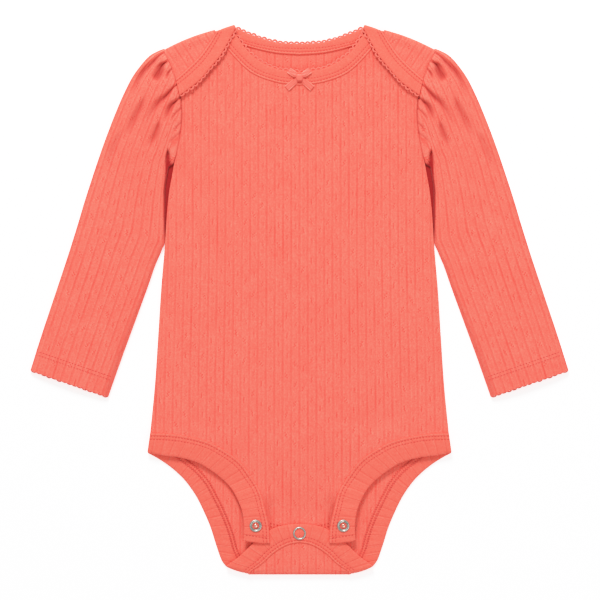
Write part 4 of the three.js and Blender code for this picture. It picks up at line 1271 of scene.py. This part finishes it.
# What each piece is made of, the CAD node it stands for and its slot
pieces = [
    (frontPanel, knit, "rib_knit", ["front_panel"]),
    (backPanel, knit, "rib_knit", ["back_panel"]),
    (sleeveRight, knit, "rib_knit", ["sleeve_right"]),
    (sleeveLeft, knit, "rib_knit", ["sleeve_left"]),
    (frontNeckBand, band, "knit_band", ["front_neck_band"]),
    (backNeckBand, band, "knit_band", ["back_neck_band"]),
    (lapBandRight, band, "knit_band", ["lap_band_right"]),
    (lapBandLeft, band, "knit_band", ["lap_band_left"]),
    (frontLegBandRight, legBand, "knit_band", ["front_leg_band_right"]),
    (frontLegBandLeft, legBand, "knit_band", ["front_leg_band_left"]),
    (backLegBandRight, backBand, "knit_band", ["back_leg_band_right"]),
    (backLegBandLeft, backBand, "knit_band", ["back_leg_band_left"]),
    (flapBand, legBand, "knit_band", ["flap_band"]),
    (bowLoopRight, satin, "satin_ribbon", ["bow_loop_right"]),
    (bowLoopLeft, satin, "satin_ribbon", ["bow_loop_left"]),
    (bowTailRight, satin, "satin_ribbon", ["bow_tail_right"]),
    (bowTailLeft, satin, "satin_ribbon", ["bow_tail_left"]),
    (bowKnot, satin, "satin_ribbon", ["bow_knot"]),
    (snapRing, metal, "snap_metal", ["snap_ring"]),
    (snapStudRight, metal, "snap_metal", ["snap_stud_right"]),
    (snapStudLeft, metal, "snap_metal", ["snap_stud_left"]),
]
allPicots = (frontPicots, backPicots, lapPicotsRight, lapPicotsLeft, cuffPicotsRight, cuffPicotsLeft)
allStitches = (neckStitches, flapStitches, lapStitchesRight, lapStitchesLeft, legStitchesRight,
               legStitchesLeft, hemStitchesRight, hemStitchesLeft, tabStitchesRight,
               tabStitchesLeft, overlockRight, overlockLeft)
pieces += [(piece, yarn, "knit_band", []) for piece in allPicots]
pieces += [(piece, thread, "knit_band", []) for piece in allStitches]
pieces += [(piece, postMetal, "snap_metal", []) for piece in (studPostRight, studPostLeft)]
for piece, finish, slotName, nodes in pieces:
    piece.data.materials.clear()
    piece.data.materials.append(finish)
    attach(piece, "root")
    if nodes:
        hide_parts(*nodes)
for piece in (frontPanel, backPanel, sleeveRight, sleeveLeft):
    smoothShaded(piece, 60)


triangles = [sum(len(f.vertices) - 2 for f in piece.data.polygons) for piece, *_ in pieces]
print("most triangles in a piece", max(triangles), "in all", sum(triangles))

# Floor, light and camera
studio = {"floor": 6, "glow": 0.34, "sky": 0.48}
deselect()
bpy.ops.mesh.primitive_plane_add(size=studio["floor"], location=(0, 0, -0.0002))
floor = bpy.context.object
floor.name = "floor"
paper = Finish("floor", Base_Color=(0.95, 0.95, 0.95, 1), Roughness=0.9, Specular_IOR_Level=0.1,
               Emission_Color=(1, 1, 1, 1), Emission_Strength=studio["glow"])
floor.data.materials.append(paper.material)

world = bpy.data.worlds.new("studio")
world.use_nodes = True
sky = world.node_tree.nodes["Background"].inputs
sky["Color"].default_value = (1, 1, 1, 1)
sky["Strength"].default_value = studio["sky"]
bpy.context.scene.world = world


def softbox(name, place, size, power):
    deselect()
    bpy.ops.object.light_add(type="AREA", location=place)
    light = bpy.context.object
    light.name = name
    light.data.shape = "RECTANGLE"
    light.data.size, light.data.size_y = size
    light.data.energy = power
    light.rotation_euler = (-light.location).to_track_quat("-Z", "Y").to_euler()


softbox("key", (-0.35, 1.9, 1.5), (0.7, 0.7), 40)
softbox("fill", (0.9, -0.9, 1.9), (1.4, 1.4), 10)

shot = {"distance": 3.0, "width": 0.468, "middle": (0.0004, -0.0002)}
bpy.ops.object.camera_add(location=(*shot["middle"], shot["distance"]), rotation=(0, 0, 0))
camera = bpy.context.object
camera.data.lens = camera.data.sensor_width * shot["distance"] / shot["width"]
camera.data.clip_start, camera.data.clip_end = 0.1, 20
bpy.context.scene.camera = camera
view = bpy.context.scene.view_settings
view.view_transform = "Standard"
# photographic highlights, which flatten towards white
view.use_curve_mapping = True
tone = view.curve_mapping
tone.clip_max_x, tone.clip_max_y = 3, 3
shoulder = tone.curves[3]
shoulder.points[1].location = (1.32, 1.0)
for place in ((0.16, 0.2), (0.5, 0.63), (0.8, 0.885), (0.95, 0.948), (1.12, 0.98)):
    shoulder.points.new(*place)
tone.update()
print("stage ready")
